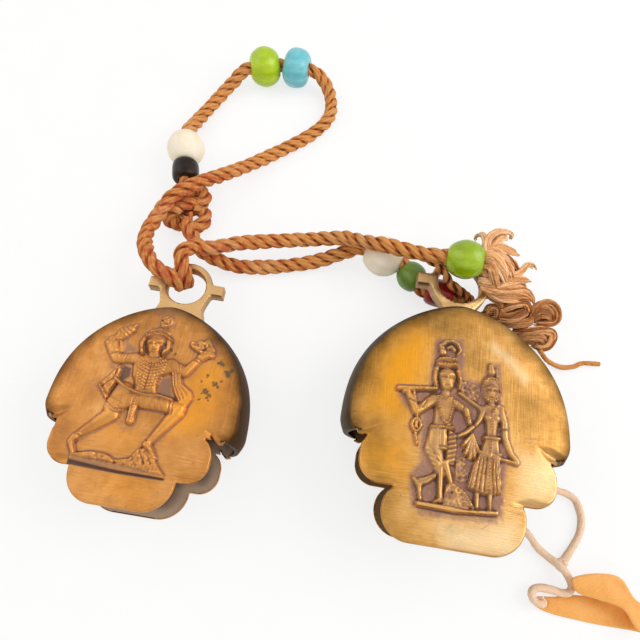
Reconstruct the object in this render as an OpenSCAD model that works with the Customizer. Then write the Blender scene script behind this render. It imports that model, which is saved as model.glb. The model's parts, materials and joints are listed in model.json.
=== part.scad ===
// Brass bell chime: two flat brass bells hung by their rings on a beaded cotton rope.
// It lies on a table as it is laid out to be looked at: back plates down, hanging loop away.
// Millimetres, +Z up, mouths of the bells towards -Y, the table is z = 0.

/* [Bells] */
// Depth of the right bell, outside of back plate to outside of front plate
bell_depth = 27; // [26:0.5:28]
// Thickness of the cast walls of the right bell
wall = 1.6; // [1.4:0.1:1.8]
// Size of the left bell against the right bell
left_scale = 0.88; // [0.87:0.005:0.885]
// Height of the cast figures above the front plate
relief_h = 1.6; // [1:0.1:2]

/* [Hanger rings] */
// Radius of the hole in the right bell's ring
ring_hole_r = 7.6; // [7.4:0.1:8]
// Outer radius of the right bell's ring
ring_outer_r = 10.2; // [9.8:0.1:10.4]
// Thickness of the right bell's ring, front to back
ring_thick = 5; // [4.4:0.1:5]

/* [Clappers] */
// Radius of the clapper ball
ball_r = 5.5; // [5:0.1:6]
// Radius of the pin that the clapper hangs on
pin_r = 1.2; // [1:0.1:1.3]
// Gap between the clapper's eye and its pin, all round
pin_gap = 0.05; // [0.03:0.01:0.1]

/* [Cords] */
// Diameter of the three-strand rope
rope_d = 5; // [4.6:0.1:5]
// Gap between the rope and the hole of a bead, all round
bead_gap = 0.3; // [0.2:0.05:0.4]
// Diameter of the single strand tied through the right ring
strand_d = 3.5; // [3:0.1:3.5]
// Diameter of the white tag string
string_d = 2.2; // [1.8:0.1:2.2]

/* [Tag] */
// Thickness of the card tag
card_t = 0.8; // [0.6:0.1:0.9]

/* [Hidden] */

brass = "goldenrod";
old_brass = "darkgoldenrod";
cotton = "peru";
$fn = 48;
clump_fn = 20;

// Places of the two bells: the middle of the line between the tips of the upper notches.
right_place = [30.5, -61.4, 0];
left_place = [-62.9, -71.1, 0];

// Shape of the right bell. Its sides and top bulge outwards from the plates to mid depth.
mid_half_w = 35;
side_bulge = 3.6;
corner_half_w = 33.5;
corner_bulge = 4.5;
corner_y = -1.9;
widest_y = 3;
mid_top_y = 46.6;
top_bulge = 5.2;
width_power = 1.3;
height_power = 0.83;
bulge_power = 1.6;
arc_steps = 24;
depth_steps = 8;

// Petals of the mouth.
notch_tip = [25, 0];
petal_r = 7.9;
petal_at = [19.8, -7.6];
lobe_r = 10.3;
lobe_at = [9.6, -19.6];
left_lobe_r = 9.2;
left_lobe_at = [8.3, -17.4];
lower_notch_tip = [18.2, -15.6];

// Hanger ring, from the notch line.
ring_y = 57.2;
ring_z = bell_depth / 2 + 0.7;
stub_reach = 14.9;
stub_h = 4.4;
neck_foot = 10.2;

// Clapper, from the notch line.
pin_y = 38.8;
pin_len = 9.6;
staple_leg = 6.3;
clapper_len = 45.4;
wall_gap = 0.15;
rest_tilt = asin((bell_depth / 2 - wall - ball_r - wall_gap) / clapper_len);
eye_r = 2.8;
eye_w = 2;
wire_r = 1.1;

bore_r = rope_d / 2 + bead_gap;

// Routes of the cords, laid by hand along the table.
loop_route = [
    [-75.5, 18, 8], [-76, 24, 7.6], [-79.3, 37.2, 7.6], [-82.5, 50, 7.6], [-81, 62, 4],
    [-76.5, 76, 2.7], [-71.5, 85, 4.5], [-65, 91.1, 8.5], [-51.4, 95.6, 8.5], [-37.5, 95, 8.5],
    [-31, 92, 5], [-27.4, 85, 2.7], [-27, 75, 2.7], [-33, 64.5, 2.7], [-43, 54.5, 2.8],
    [-54, 42.5, 5], [-62.5, 32, 9.4], [-70, 23, 13.6], [-77.5, 16, 13.6], [-82, 7, 11],
    [-83, -2.5, 12.4], [-78.5, -12, 17.4], [-73.8, -17.6, 18], [-69.2, -19.2, 18]
];
hitch_route = [
    [-67.6, -11, 8], [-66, -13.7, 6.9], [-64.8, -16.6, 8.2], [-64.3, -17.3, 12.5],
    [-64.6, -16.8, 16.6], [-66.2, -13.4, 17.8], [-67.8, -10, 16.8], [-65.5, -7.5, 15.4]
];
upper_route = [
    [-65.5, -7.5, 15.4], [-58, -4.3, 14.2], [-50, 0.6, 11.8], [-38.5, 5.5, 9], [-25, 9, 8.6],
    [-12.5, 10, 11.6], [-5, 7.2, 15.6], [1.7, 5.1, 18.8], [8.5, 3.8, 19.8], [15.5, 2.9, 20.2],
    [22.2, 1.7, 22.4], [39.4, -0.2, 26]
];
lower_route = [
    [-72, 9, 7.6], [-67.5, 2.6, 8.6], [-61.5, -3, 7.6], [-51, -4.6, 4.6], [-41, -2.6, 2.8],
    [-30.5, 0.2, 2.7], [-21, 3.3, 3.4], [-11.5, 7, 6.2], [-4, 9.3, 7.9], [11, 5.3, 7.3],
    [18.9, -2.5, 5], [25.6, -3.4, 5.5], [33, -4.5, 5.8]
];
strand_route = [
    [18.5, 1.1, 20], [22, -0.6, 19.6], [25, -2.7, 18.1], [26.9, -3.8, 14.9], [30.5, -4.7, 13.2],
    [34.8, -5, 9]
];
yarn_route = [
    [62.5, -19.5, 5], [66, -22.4, 3.4], [71.5, -23.2, 1.5], [76, -22.2, 1.3], [79.5, -20.3, 1.3],
    [85.5, -19.6, 1.3]
];
string_route = [
    [70.4, -88, 1.6], [73.6, -83.4, 1.2], [76, -79, 1.2], [76.9, -74, 1.2], [75.4, -69, 1.3],
    [72.3, -67.2, 1.8], [68, -66.8, 3.2], [61, -65.4, 4], [53, -62.6, 3.6], [46, -63, 3.2],
    [42.5, -68, 3], [45, -74, 3], [51, -77, 3.2], [56, -79.4, 3.4], [59.6, -82, 3],
    [62.7, -85, 1.7], [66, -87.2, 1.3], [69.2, -89.6, 3.4], [71.8, -92.2, 2.2], [72.6, -95, 2.2],
    [70.4, -96.8, 2.3], [66, -96.4, 2.3], [62.4, -96.2, 2.3], [60, -98, 2.2], [61.2, -100, 2.2],
    [64.6, -100.3, 2.2]
];
tag_hole = [64.6, -100.3];
tag_hole_r = 1.3;

function unit(v) = v / norm(v);
function heading(route, i) =
    unit(route[min(i + 1, len(route) - 1)] - route[max(i - 1, 0)]);

// A round cord swept along a route, one ring of points to each point of the route.
module cord(route, d, sides = 10, side_of = [0, 0, 1]) {
    last = len(route) - 1;
    points = [
        for (i = [0:last])
            let (h = heading(route, i), u = unit(cross(h, side_of)), v = cross(h, u))
                for (k = [0:sides - 1])
                    route[i] + d / 2 * (cos(360 * k / sides) * u + sin(360 * k / sides) * v)
    ];
    walls = [
        for (i = [0:last - 1], k = [0:sides - 1])
            let (n = (k + 1) % sides)
                [i * sides + k, i * sides + n, (i + 1) * sides + n, (i + 1) * sides + k]
    ];
    start_cap = [[for (k = [sides - 1:-1:0]) k]];
    end_cap = [[for (k = [0:sides - 1]) last * sides + k]];
    polyhedron(points, concat(walls, start_cap, end_cap));
}

// Turns +Z onto the direction v and moves the origin to the point at.
module aim(at, v) {
    translate(at)
        rotate([0, acos(unit(v)[2]), atan2(v[1], v[0])])
            children();
}

// How far the bulge has drawn in at a height: 0 at mid depth, 1 at the plates.
function drawn_in(z, depth) = let (s = min(1, abs(2 * z / depth - 1)))
    1 - pow(1 - pow(s, bulge_power), 1 / bulge_power);

function dome_ring(z, depth, inset, foot_y) = let (f = drawn_in(z, depth)) concat(
    [[corner_half_w - corner_bulge * f - inset, foot_y, z]],
    [
        for (i = [0:arc_steps])
            let (t = 180 * i / arc_steps, side = i < arc_steps / 2 ? 1 : -1)
                [
                    side * (mid_half_w - side_bulge * f - inset) * pow(abs(cos(t)), width_power),
                    widest_y + (mid_top_y - widest_y - top_bulge * f - inset)
                        * pow(abs(sin(t)), height_power),
                    z
                ]
    ],
    [[-(corner_half_w - corner_bulge * f - inset), foot_y, z]]
);

// The closed cushion shape of the bell above its mouth, or of the hollow inside it.
module dome_body(inset, foot_y) {
    depth = bell_depth - 2 * inset;
    count = arc_steps + 3;
    rings = [
        for (i = [0:depth_steps])
            dome_ring(depth / 2 * (1 - cos(180 * i / depth_steps)), depth, inset, foot_y)
    ];
    points = [for (ring = rings, p = ring) p + [0, 0, inset]];
    walls = [
        for (i = [0:depth_steps - 1], k = [0:count - 1])
            let (n = (k + 1) % count)
                [i * count + k, (i + 1) * count + k, (i + 1) * count + n, i * count + n]
    ];
    back_cap = [[for (k = [0:count - 1]) k]];
    front_cap = [[for (k = [count - 1:-1:0]) depth_steps * count + k]];
    polyhedron(points, concat(walls, back_cap, front_cap), convexity = 4);
}

// Outline of the scalloped lower part of a plate.
module petals(centre, r) {
    for (side = [-1, 1]) {
        translate([side * petal_at[0], petal_at[1]]) circle(petal_r);
        translate([side * centre[0], centre[1]]) circle(r);
    }
    translate([-petal_at[0], petal_at[1] - petal_r])
        square([2 * petal_at[0], corner_y - petal_at[1] + petal_r + 2]);
    translate([-centre[0], centre[1] - r])
        square([2 * centre[0], r + 4]);
}

// Engraved V at the tip of each notch of the mouth, cut through both plates.
module notch_cuts() {
    for (side = [-1, 1])
        linear_extrude(3 * bell_depth, center = true) {
            polygon([
                [side * notch_tip[0], notch_tip[1]],
                [side * 29.2, corner_y - 0.05], [side * 28.4, corner_y - 1.4]
            ]);
            polygon([
                [side * lower_notch_tip[0], lower_notch_tip[1]],
                [side * 20.6, -15.2], [side * 20.4, -17]
            ]);
        }
}

module bell_shell(centre, r) {
    difference() {
        union() {
            dome_body(0, corner_y);
            linear_extrude(bell_depth) petals(centre, r);
        }
        dome_body(wall, corner_y - 2);
        translate([-mid_half_w, -2 * mid_half_w, wall])
            cube([2 * mid_half_w, 2 * mid_half_w + corner_y - 1, bell_depth - 2 * wall]);
        notch_cuts();
    }
}

// Flat ring with a lug on each side, on a flared neck that seats on top of the bell.
module hanger_ring() {
    translate([0, 0, ring_z - ring_thick / 2])
        linear_extrude(ring_thick)
            difference() {
                union() {
                    translate([0, ring_y]) circle(ring_outer_r);
                    translate([-stub_reach, ring_y - stub_h / 2])
                        square([2 * stub_reach, stub_h]);
                    polygon([
                        [-neck_foot, 43.3], [-5, 45.2], [0, 45.8], [5, 45.2], [neck_foot, 43.3],
                        [8.6, 48.8], [9.4, 54.3], [-9.4, 54.3], [-8.6, 48.8]
                    ]);
                }
                translate([0, ring_y]) circle(ring_hole_r);
            }
}

// Bent wire brazed inside the top of the bell, with a straight pin across it.
module clapper_staple() {
    translate([0, pin_y, bell_depth / 2]) {
        rotate([0, 90, 0]) cylinder(r = pin_r, h = pin_len, center = true);
        for (side = [-1, 1])
            translate([side * (pin_len / 2 - pin_r), 0, 0])
                rotate([-90, 0, 0]) cylinder(r = pin_r, h = staple_leg);
    }
}

// Everything that swings with the clapper hangs from the pin along -Y, then tilts to rest.
module clapper_frame() {
    translate([0, pin_y, bell_depth / 2])
        rotate([rest_tilt, 0, 0])
            children();
}

module clapper_wire() {
    clapper_frame()
        difference() {
            union() {
                rotate([0, 90, 0]) cylinder(r = eye_r, h = eye_w, center = true);
                rotate([90, 0, 0]) cylinder(r = wire_r, h = clapper_len - ball_r + 3);
            }
            rotate([0, 90, 0]) cylinder(r = pin_r + pin_gap, h = 2 * eye_w, center = true);
        }
}

module clapper_ball() {
    clapper_frame()
        difference() {
            translate([0, -clapper_len, 0]) sphere(ball_r);
            rotate([90, 0, 0]) cylinder(r = wire_r, h = clapper_len - ball_r + 3);
        }
}

module on_left() {
    translate(left_place) scale(left_scale) children();
}

module on_right() {
    translate(right_place) children();
}

// A limb or a fold of a figure: a bar along a list of points, with joints a little wider.
module limb(points, w) {
    joint_r = 0.54 * w;
    for (i = [0:len(points) - 2]) {
        a = points[i];
        b = points[i + 1];
        translate(a)
            rotate(atan2(b[1] - a[1], b[0] - a[0]))
                translate([0, -w / 2]) square([norm(b - a), w]);
        translate(a) circle(joint_r);
        translate(b) circle(joint_r);
    }
}

// Raised casting on the front plate, let a little way into it. Its rounds are cut as facets.
module raised(h) {
    $fn = 12;
    sink = 0.2;
    translate([0, 0, bell_depth - sink]) linear_extrude(sink + h) children();
}

// Lunging hero with a crown, a mace in one hand and a rock held up in the other.
module hero_relief() {
    raised(relief_h) {
        translate([-2, 28.8]) circle(4.2);
        limb([[-2, 26], [-1.4, 22]], 3);
        polygon([[-5.4, 31], [1.6, 31], [0.8, 36], [-1, 39.4], [-3.6, 36]]);
        polygon([[-9, 23], [7, 23.4], [5.4, 11], [-8.4, 12]]);
        limb([[-8.5, 21.2], [-16.2, 21.2], [-18.8, 26.2]], 3.6);
        limb([[-17.8, 28.4], [-10.8, 34.2]], 3);
        limb([[6.4, 21.4], [11, 21], [14.6, 26.8]], 3.4);
        polygon([[10, 29.4], [13.4, 33.2], [17, 34.6], [20, 28.8], [15.4, 26.4]]);
        limb([[3.6, 9.4], [13, 7.4], [5.8, -5], [8.2, -9.4]], 4.4);
        limb([[-6.6, 8.6], [-10.8, 1.4], [-18.8, -8.2], [-18.2, -11.6]], 4.4);
        limb([[-3.6, 9], [-2.6, 1.4]], 3.2);
        polygon([[-10.6, 20], [-9, 14], [-13.2, 7.4], [-17, 10.8]]);
        polygon([[8.2, 20.4], [12.4, 14.4], [15.4, 13.4], [14.4, 8.8], [10.4, 11.4]]);
    }
    raised(relief_h + 0.4)
        polygon([[-19, -13.2], [-9.4, -10.8], [0.4, -11.2], [3.6, -7.4], [14.2, -15], [13.6, -16],
            [-18.6, -14.6]]);
}

// Standing flute player with a crest, and a companion in a pleated skirt.
module couple_relief() {
    raised(relief_h) {
        translate([-4.3, 28.4]) circle(2.7);
        translate([-4.3, 19.8]) circle(3.4);
        polygon([[-7.4, 21.4], [-1.2, 21.4], [-1.8, 26.4], [-7, 26.4]]);
        limb([[-4.3, 17.4], [-4.4, 11]], 2.6);
        limb([[-18, 13.2], [-4.6, 15.4]], 1.2);
        polygon([[-9.4, 11.6], [-0.4, 12], [-1.8, 1], [-8, 1]]);
        limb([[-8.8, 10.4], [-13.2, 5.2], [-16.2, 11.6]], 2.6);
        limb([[-0.6, 10.8], [2.6, 7.4], [-2.4, 12.6]], 2.4);
        limb([[-5.4, 1.4], [-7.6, -6.4], [-2.8, -13], [-3, -17.4]], 4.6);
        limb([[-2.6, 0.6], [-3.6, -8], [-5, -17.4]], 3.6);
        limb([[0.4, 1.6], [3, -4.6]], 2.4);
        translate([9.3, 17]) circle(3.1);
        limb([[9.3, 15], [9.2, 11]], 2.2);
        translate([9.2, 21.4]) circle(2.2);
        polygon([[5.4, 11.6], [13, 11.6], [11.4, 1.6], [7.2, 1.6]]);
        polygon([[7, 2], [11.6, 2], [13, -14.4], [3.6, -14.2]]);
        limb([[12.6, 10.8], [14.2, 3.6], [15.6, -3]], 2.2);
        limb([[-12.4, -12.8], [-9.6, -12.6], [-10.4, -18.2]], 3);
        limb([[5.8, -14], [5.8, -17.4]], 1.8);
        limb([[10.2, -14], [10.2, -17.4]], 1.8);
        translate([-12.8, 2.4]) circle(1.8);
    }
    raised(relief_h + 0.4)
        polygon([[-11.4, -19.6], [-11, -18.2], [12.4, -17], [12, -18.8], [-10.8, -20.8]]);
}

// A round bead, flattened a little where the hole comes out.
module round_bead(at, v, r) {
    aim(at, v)
        rotate_extrude()
            difference() {
                intersection() {
                    circle(r);
                    translate([0, -0.93 * r]) square([r, 1.86 * r]);
                }
                translate([0, -r]) square([bore_r, 2 * r]);
            }
}

// A drum bead with rounded shoulders.
module drum_bead(at, v, r, len, round_r) {
    aim(at, v)
        rotate_extrude()
            difference() {
                union() {
                    translate([0, -len / 2]) square([r - round_r, len]);
                    translate([0, round_r - len / 2]) square([r, len - 2 * round_r]);
                    for (end = [-1, 1])
                        translate([r - round_r, end * (len / 2 - round_r)]) circle(round_r);
                }
                translate([0, -len]) square([bore_r, 2 * len]);
            }
}

// The knot that closes the hanging loop: three bights drawn up against each other.
module knot_of_bights() {
    translate([-70.6, 13.8, 3.6])
        rotate_extrude() translate([4.3, 0]) circle(2.7);
    translate([-71.6, 21.4, 6])
        rotate([0, 20, 0]) rotate_extrude() translate([3.6, 0]) circle(2.6);
    translate([-76.2, 11.8, 6])
        rotate([65, 0, 20]) rotate_extrude() translate([3.2, 0]) circle(2.5);
    translate([-75, 15.4, 5.8]) sphere(5);
}

// Combed-out end of the rope: a clump above the ring's lug and lumps down on the table.
module tassel_body() {
    hull() {
        translate([40.2, 0.4, 25]) sphere(2.4, $fn = clump_fn);
        translate([37.2, 13, 20.4]) sphere(2.4, $fn = clump_fn);
        translate([43.8, 17.4, 18]) sphere(2.4, $fn = clump_fn);
        translate([49.6, 12.4, 14]) sphere(2.8, $fn = clump_fn);
        translate([41.6, -3.6, 21]) sphere(2.6, $fn = clump_fn);
    }
    hull() {
        translate([50.4, 10.4, 12]) sphere(3, $fn = clump_fn);
        translate([58.6, 7.6, 9]) sphere(2, $fn = clump_fn);
        translate([58.4, -2, 6.5]) sphere(4.6, $fn = clump_fn);
        translate([50.8, 1.4, 8]) sphere(3.4, $fn = clump_fn);
    }
    hull() {
        translate([50.8, 1.4, 8]) sphere(3.4, $fn = clump_fn);
        translate([45.4, -9.4, 6.4]) sphere(4, $fn = clump_fn);
        translate([55, -12.6, 5.6]) sphere(4.4, $fn = clump_fn);
        translate([60.6, -8, 5.2]) sphere(4.8, $fn = clump_fn);
    }
    translate([66, -4.4, 4.6]) sphere(4.4);
    translate([61.2, -14.6, 4.8]) sphere(4.6);
    translate([62.6, -18.6, 4.4]) sphere(2.6);
}

// Card tag: a pointed flap on the table, folded back over itself.
module tag_body() {
    fold_x = 90.7;
    fold_r = 3;
    back_y = -95.6;
    front_y = -103.6;
    linear_extrude(card_t)
        difference() {
            polygon([
                [60.8, -99.6], [63.4, -98.6], [68, -98], [74, -96.6], [fold_x, back_y],
                [fold_x, front_y], [81, front_y], [74, -103.3], [67, -102.8], [62.4, -101.6]
            ]);
            translate(tag_hole) circle(tag_hole_r);
        }
    translate([fold_x, back_y, fold_r])
        rotate([90, 0, 0])
            linear_extrude(back_y - front_y)
                intersection() {
                    difference() {
                        circle(fold_r);
                        circle(fold_r - card_t);
                    }
                    translate([0, -fold_r]) square([fold_r, 2 * fold_r]);
                }
    translate([0, 0, 2 * fold_r - card_t])
        linear_extrude(card_t)
            polygon([
                [fold_x, back_y], [fold_x, front_y], [86, -98.4], [79, -97], [73, -96.2],
                [71.2, -94.2], [71.6, -92], [79, -89.8], [86, -90]
            ]);
}

module left_bell_shell() { color(old_brass) on_left() bell_shell(left_lobe_at, left_lobe_r); }
module left_bell_relief() { color(brass) on_left() hero_relief(); }
module left_hanger_ring() { color(brass) on_left() hanger_ring(); }
module left_clapper_staple() { color(brass) on_left() clapper_staple(); }
module left_clapper_wire() { color(brass) on_left() clapper_wire(); }
module left_clapper_ball() { color(old_brass) on_left() clapper_ball(); }
module right_bell_shell() { color(brass) on_right() bell_shell(lobe_at, lobe_r); }
module right_bell_relief() { color(old_brass) on_right() couple_relief(); }
module right_hanger_ring() { color(brass) on_right() hanger_ring(); }
module right_clapper_staple() { color(brass) on_right() clapper_staple(); }
module right_clapper_wire() { color(brass) on_right() clapper_wire(); }
module right_clapper_ball() { color(old_brass) on_right() clapper_ball(); }
module hanging_loop_cord() { color(cotton) cord(loop_route, rope_d); }
module top_knot() { color(cotton) knot_of_bights(); }
module left_ring_hitch() { color(cotton) cord(hitch_route, rope_d, side_of = [0.906, 0.423, 0]); }
module upper_span_cord() { color(cotton) cord(upper_route, rope_d); }
module lower_span_cord() { color(cotton) cord(lower_route, rope_d); }
module right_ring_strand() {
    color(cotton) cord(strand_route, strand_d, sides = 8, side_of = [0.4, 1, 0]);
}
module end_knot() { color(cotton) translate([35.4, -5.1, 5.2]) sphere(4.2); }
module rope_tassel() { color("burlywood") tassel_body(); }
module stray_yarn() { color("burlywood") cord(yarn_route, 2.4, sides = 8); }
module black_bead() {
    color("black") drum_bead([-78, 32, 7.6], loop_route[3] - loop_route[1], 5.2, 8.6, 1.6);
}
module white_loop_bead() {
    color("ivory") round_bead([-80.8, 43.3, 7.6], loop_route[3] - loop_route[1], 7.5);
}
module lime_loop_bead() {
    color("yellowgreen") drum_bead([-58.2, 93.35, 8.5], loop_route[8] - loop_route[7], 8.1, 12.8, 4);
}
module blue_bead() {
    color("mediumturquoise") drum_bead([-44.4, 95.3, 8.5], loop_route[9] - loop_route[8], 8.2, 11, 3);
}
module white_span_bead() {
    color("ivory") round_bead([3.5, 7.3, 7.6], lower_route[9] - lower_route[8], 7.5);
}
module green_bead() {
    color("darkgreen") round_bead([14.9, 1.45, 6.15], lower_route[10] - lower_route[9], 5.5);
}
module red_bead() {
    color("darkred") drum_bead([25.6, -3.4, 5.5], lower_route[12] - lower_route[10], 5.2, 10.2, 2);
}
module lime_end_bead() {
    color("yellowgreen") round_bead([30.1, 0.8, 24.1], upper_route[11] - upper_route[10], 6.8);
}
module tag_string() { color("seashell") cord(string_route, string_d, sides = 8); }
module string_knot() { color("seashell") translate([69.8, -88.8, 2.3]) sphere(2.2); }
module card_tag() { color("sandybrown") tag_body(); }

left_bell_shell();
left_bell_relief();
left_hanger_ring();
left_clapper_staple();
left_clapper_wire();
left_clapper_ball();
right_bell_shell();
right_bell_relief();
right_hanger_ring();
right_clapper_staple();
right_clapper_wire();
right_clapper_ball();
hanging_loop_cord();
top_knot();
left_ring_hitch();
upper_span_cord();
lower_span_cord();
right_ring_strand();
end_knot();
rope_tassel();
stray_yarn();
black_bead();
white_loop_bead();
lime_loop_bead();
blue_bead();
white_span_bead();
green_bead();
red_bead();
lime_end_bead();
tag_string();
string_knot();
card_tag();
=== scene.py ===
import json
import math

import bpy
import numpy as np
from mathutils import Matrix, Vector
from mathutils.kdtree import KDTree


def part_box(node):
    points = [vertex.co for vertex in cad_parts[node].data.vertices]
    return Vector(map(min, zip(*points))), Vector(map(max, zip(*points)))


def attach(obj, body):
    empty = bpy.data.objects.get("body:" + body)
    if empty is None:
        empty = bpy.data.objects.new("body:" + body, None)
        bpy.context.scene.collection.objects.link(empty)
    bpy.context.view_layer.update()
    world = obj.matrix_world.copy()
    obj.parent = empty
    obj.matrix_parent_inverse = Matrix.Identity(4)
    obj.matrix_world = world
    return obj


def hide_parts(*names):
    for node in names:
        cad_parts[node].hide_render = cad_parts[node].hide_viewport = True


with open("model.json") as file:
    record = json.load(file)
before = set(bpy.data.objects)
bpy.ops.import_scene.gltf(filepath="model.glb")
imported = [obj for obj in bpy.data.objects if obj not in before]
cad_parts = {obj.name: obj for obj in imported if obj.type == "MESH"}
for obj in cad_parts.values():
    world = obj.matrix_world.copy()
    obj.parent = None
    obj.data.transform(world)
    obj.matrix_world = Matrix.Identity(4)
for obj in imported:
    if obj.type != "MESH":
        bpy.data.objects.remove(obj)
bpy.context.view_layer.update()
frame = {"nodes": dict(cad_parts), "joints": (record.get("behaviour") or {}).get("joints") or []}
joints = {joint["name"]: joint for joint in frame["joints"]}
mm = 0.001
chance = np.random.default_rng(11)
print("frame loaded,", len(frame["nodes"]), "nodes")


# camera

cameraSet = {
    "place": (-10, -104, 186.7),
    "lookAt": (-16, -19, 0),
    "up": (-0.156, 0.897, 0.413),
    "lens": 31.5,
    "sensor": 36,
}


def placeCamera(settings):
    data = bpy.data.cameras.new("camera")
    data.lens = settings["lens"]
    data.sensor_width = settings["sensor"]
    data.clip_start = 0.01
    data.clip_end = 20
    camera = bpy.data.objects.new("camera", data)
    bpy.context.scene.collection.objects.link(camera)
    place = Vector(settings["place"]) * mm
    back = (place - Vector(settings["lookAt"]) * mm).normalized()
    right = Vector(settings["up"]).cross(back).normalized()
    up = back.cross(right)
    turn = camera.matrix_world.to_3x3()
    turn.col[0], turn.col[1], turn.col[2] = right, up, back
    camera.matrix_world = turn.to_4x4()
    camera.location = place
    bpy.context.scene.camera = camera


placeCamera(cameraSet)


# materials


def linear(code):
    parts = [int(code[i:i + 2], 16) / 255 for i in (1, 3, 5)]
    return tuple(c / 12.92 if c <= 0.04045 else ((c + 0.055) / 1.055) ** 2.4 for c in parts) + (1.0,)


def addNode(tree, kind, values=None, out=0, stops=None, **settings):
    node = tree.nodes.new("ShaderNode" + kind)
    for key, value in settings.items():
        setattr(node, key, value)
    for key, value in (values or {}).items():
        if isinstance(value, bpy.types.NodeSocket):
            tree.links.new(value, node.inputs[key])
        else:
            node.inputs[key].default_value = value
    if stops:
        elements = node.color_ramp.elements
        elements[0].position, elements[0].color = stops[0]
        elements[1].position, elements[1].color = stops[-1]
        for place, colour in stops[1:-1]:
            elements.new(place).color = colour
    return node.outputs[out]


def newMaterial(name):
    material = bpy.data.materials.new(name)
    material.use_nodes = True
    tree = material.node_tree
    tree.nodes.clear()
    return material, tree


def endMaterial(tree, values, kind="BsdfPrincipled"):
    surface = addNode(tree, kind, values)
    target = tree.nodes.new("ShaderNodeOutputMaterial")
    tree.links.new(surface, target.inputs["Surface"])


def attribute(tree, name, out="Fac"):
    return addNode(tree, "Attribute", out=out, attribute_name=name)


def blend(tree, amount, first, second):
    # from the first colour to the second one
    return addNode(tree, "Mix", {0: amount, 6: first, 7: second}, out=2, data_type="RGBA")


def coat(tree, amount, under, code):
    # a thin coat of one colour over what lies under it
    return blend(tree, amount, under, linear(code))


def sums(tree, operation, first, second, third=0.5):
    return addNode(tree, "Math", {0: first, 1: second, 2: third}, operation=operation)


def times(tree, first, second):
    return sums(tree, "MULTIPLY", first, second)


def added(tree, part, share, rest):
    # this share of one part on top of the rest
    return sums(tree, "MULTIPLY_ADD", part, share, rest)


def stretchedNoise(tree, vector, scale, detail=3.0, offset=(0, 0, 0)):
    moved = addNode(tree, "Mapping", {"Vector": vector, "Scale": scale, "Location": offset})
    return addNode(tree, "TexNoise", {"Vector": moved, "Scale": 1.0, "Detail": detail, "Roughness": 0.6})


def ramp(tree, fac, stops):
    return addNode(tree, "ValToRGB", {"Fac": fac}, stops=[(at, linear(code)) for at, code in stops])


def between(tree, fac, low, high, start=0.0, end=1.0):
    return addNode(tree, "MapRange", {"Value": fac, "From Min": low, "From Max": high,
                                      "To Min": start, "To Max": end})


# warm and pale are the colours of a painted reflection and a painted highlight; rim is olive tarnish that
# also stands for a painted dark reflection; inside is the inner brass with painted shade in it
leftBrassLook = {
    "bright": "#dfa262", "body": "#c98a48", "worn": "#a8703e", "warm": "#ec9e36", "grime": "#92705e",
    "deep": "#3f271e", "rim": "#38240a", "pit": "#4a4630", "inside": "#b09a86", "pale": "#d9b884",
    "brushUp": (1.6, 0.1, 0.3), "brushAcross": (0.14, 1.8, 0.3), "brushDepth": 0.24, "roughness": 0.46,
}
rightBrassLook = {
    "bright": "#deb06e", "body": "#c6924e", "worn": "#9a7038", "warm": "#ea9e22", "grime": "#8a6460",
    "deep": "#402c1c", "rim": "#34240a", "pit": "#3a3a20", "inside": "#5f4828", "pale": "#ecd2a6",
    "brushUp": (2.2, 0.12, 0.3), "brushAcross": (0.12, 3.0, 0.3), "brushDepth": 0.3, "roughness": 0.38,
}


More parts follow.
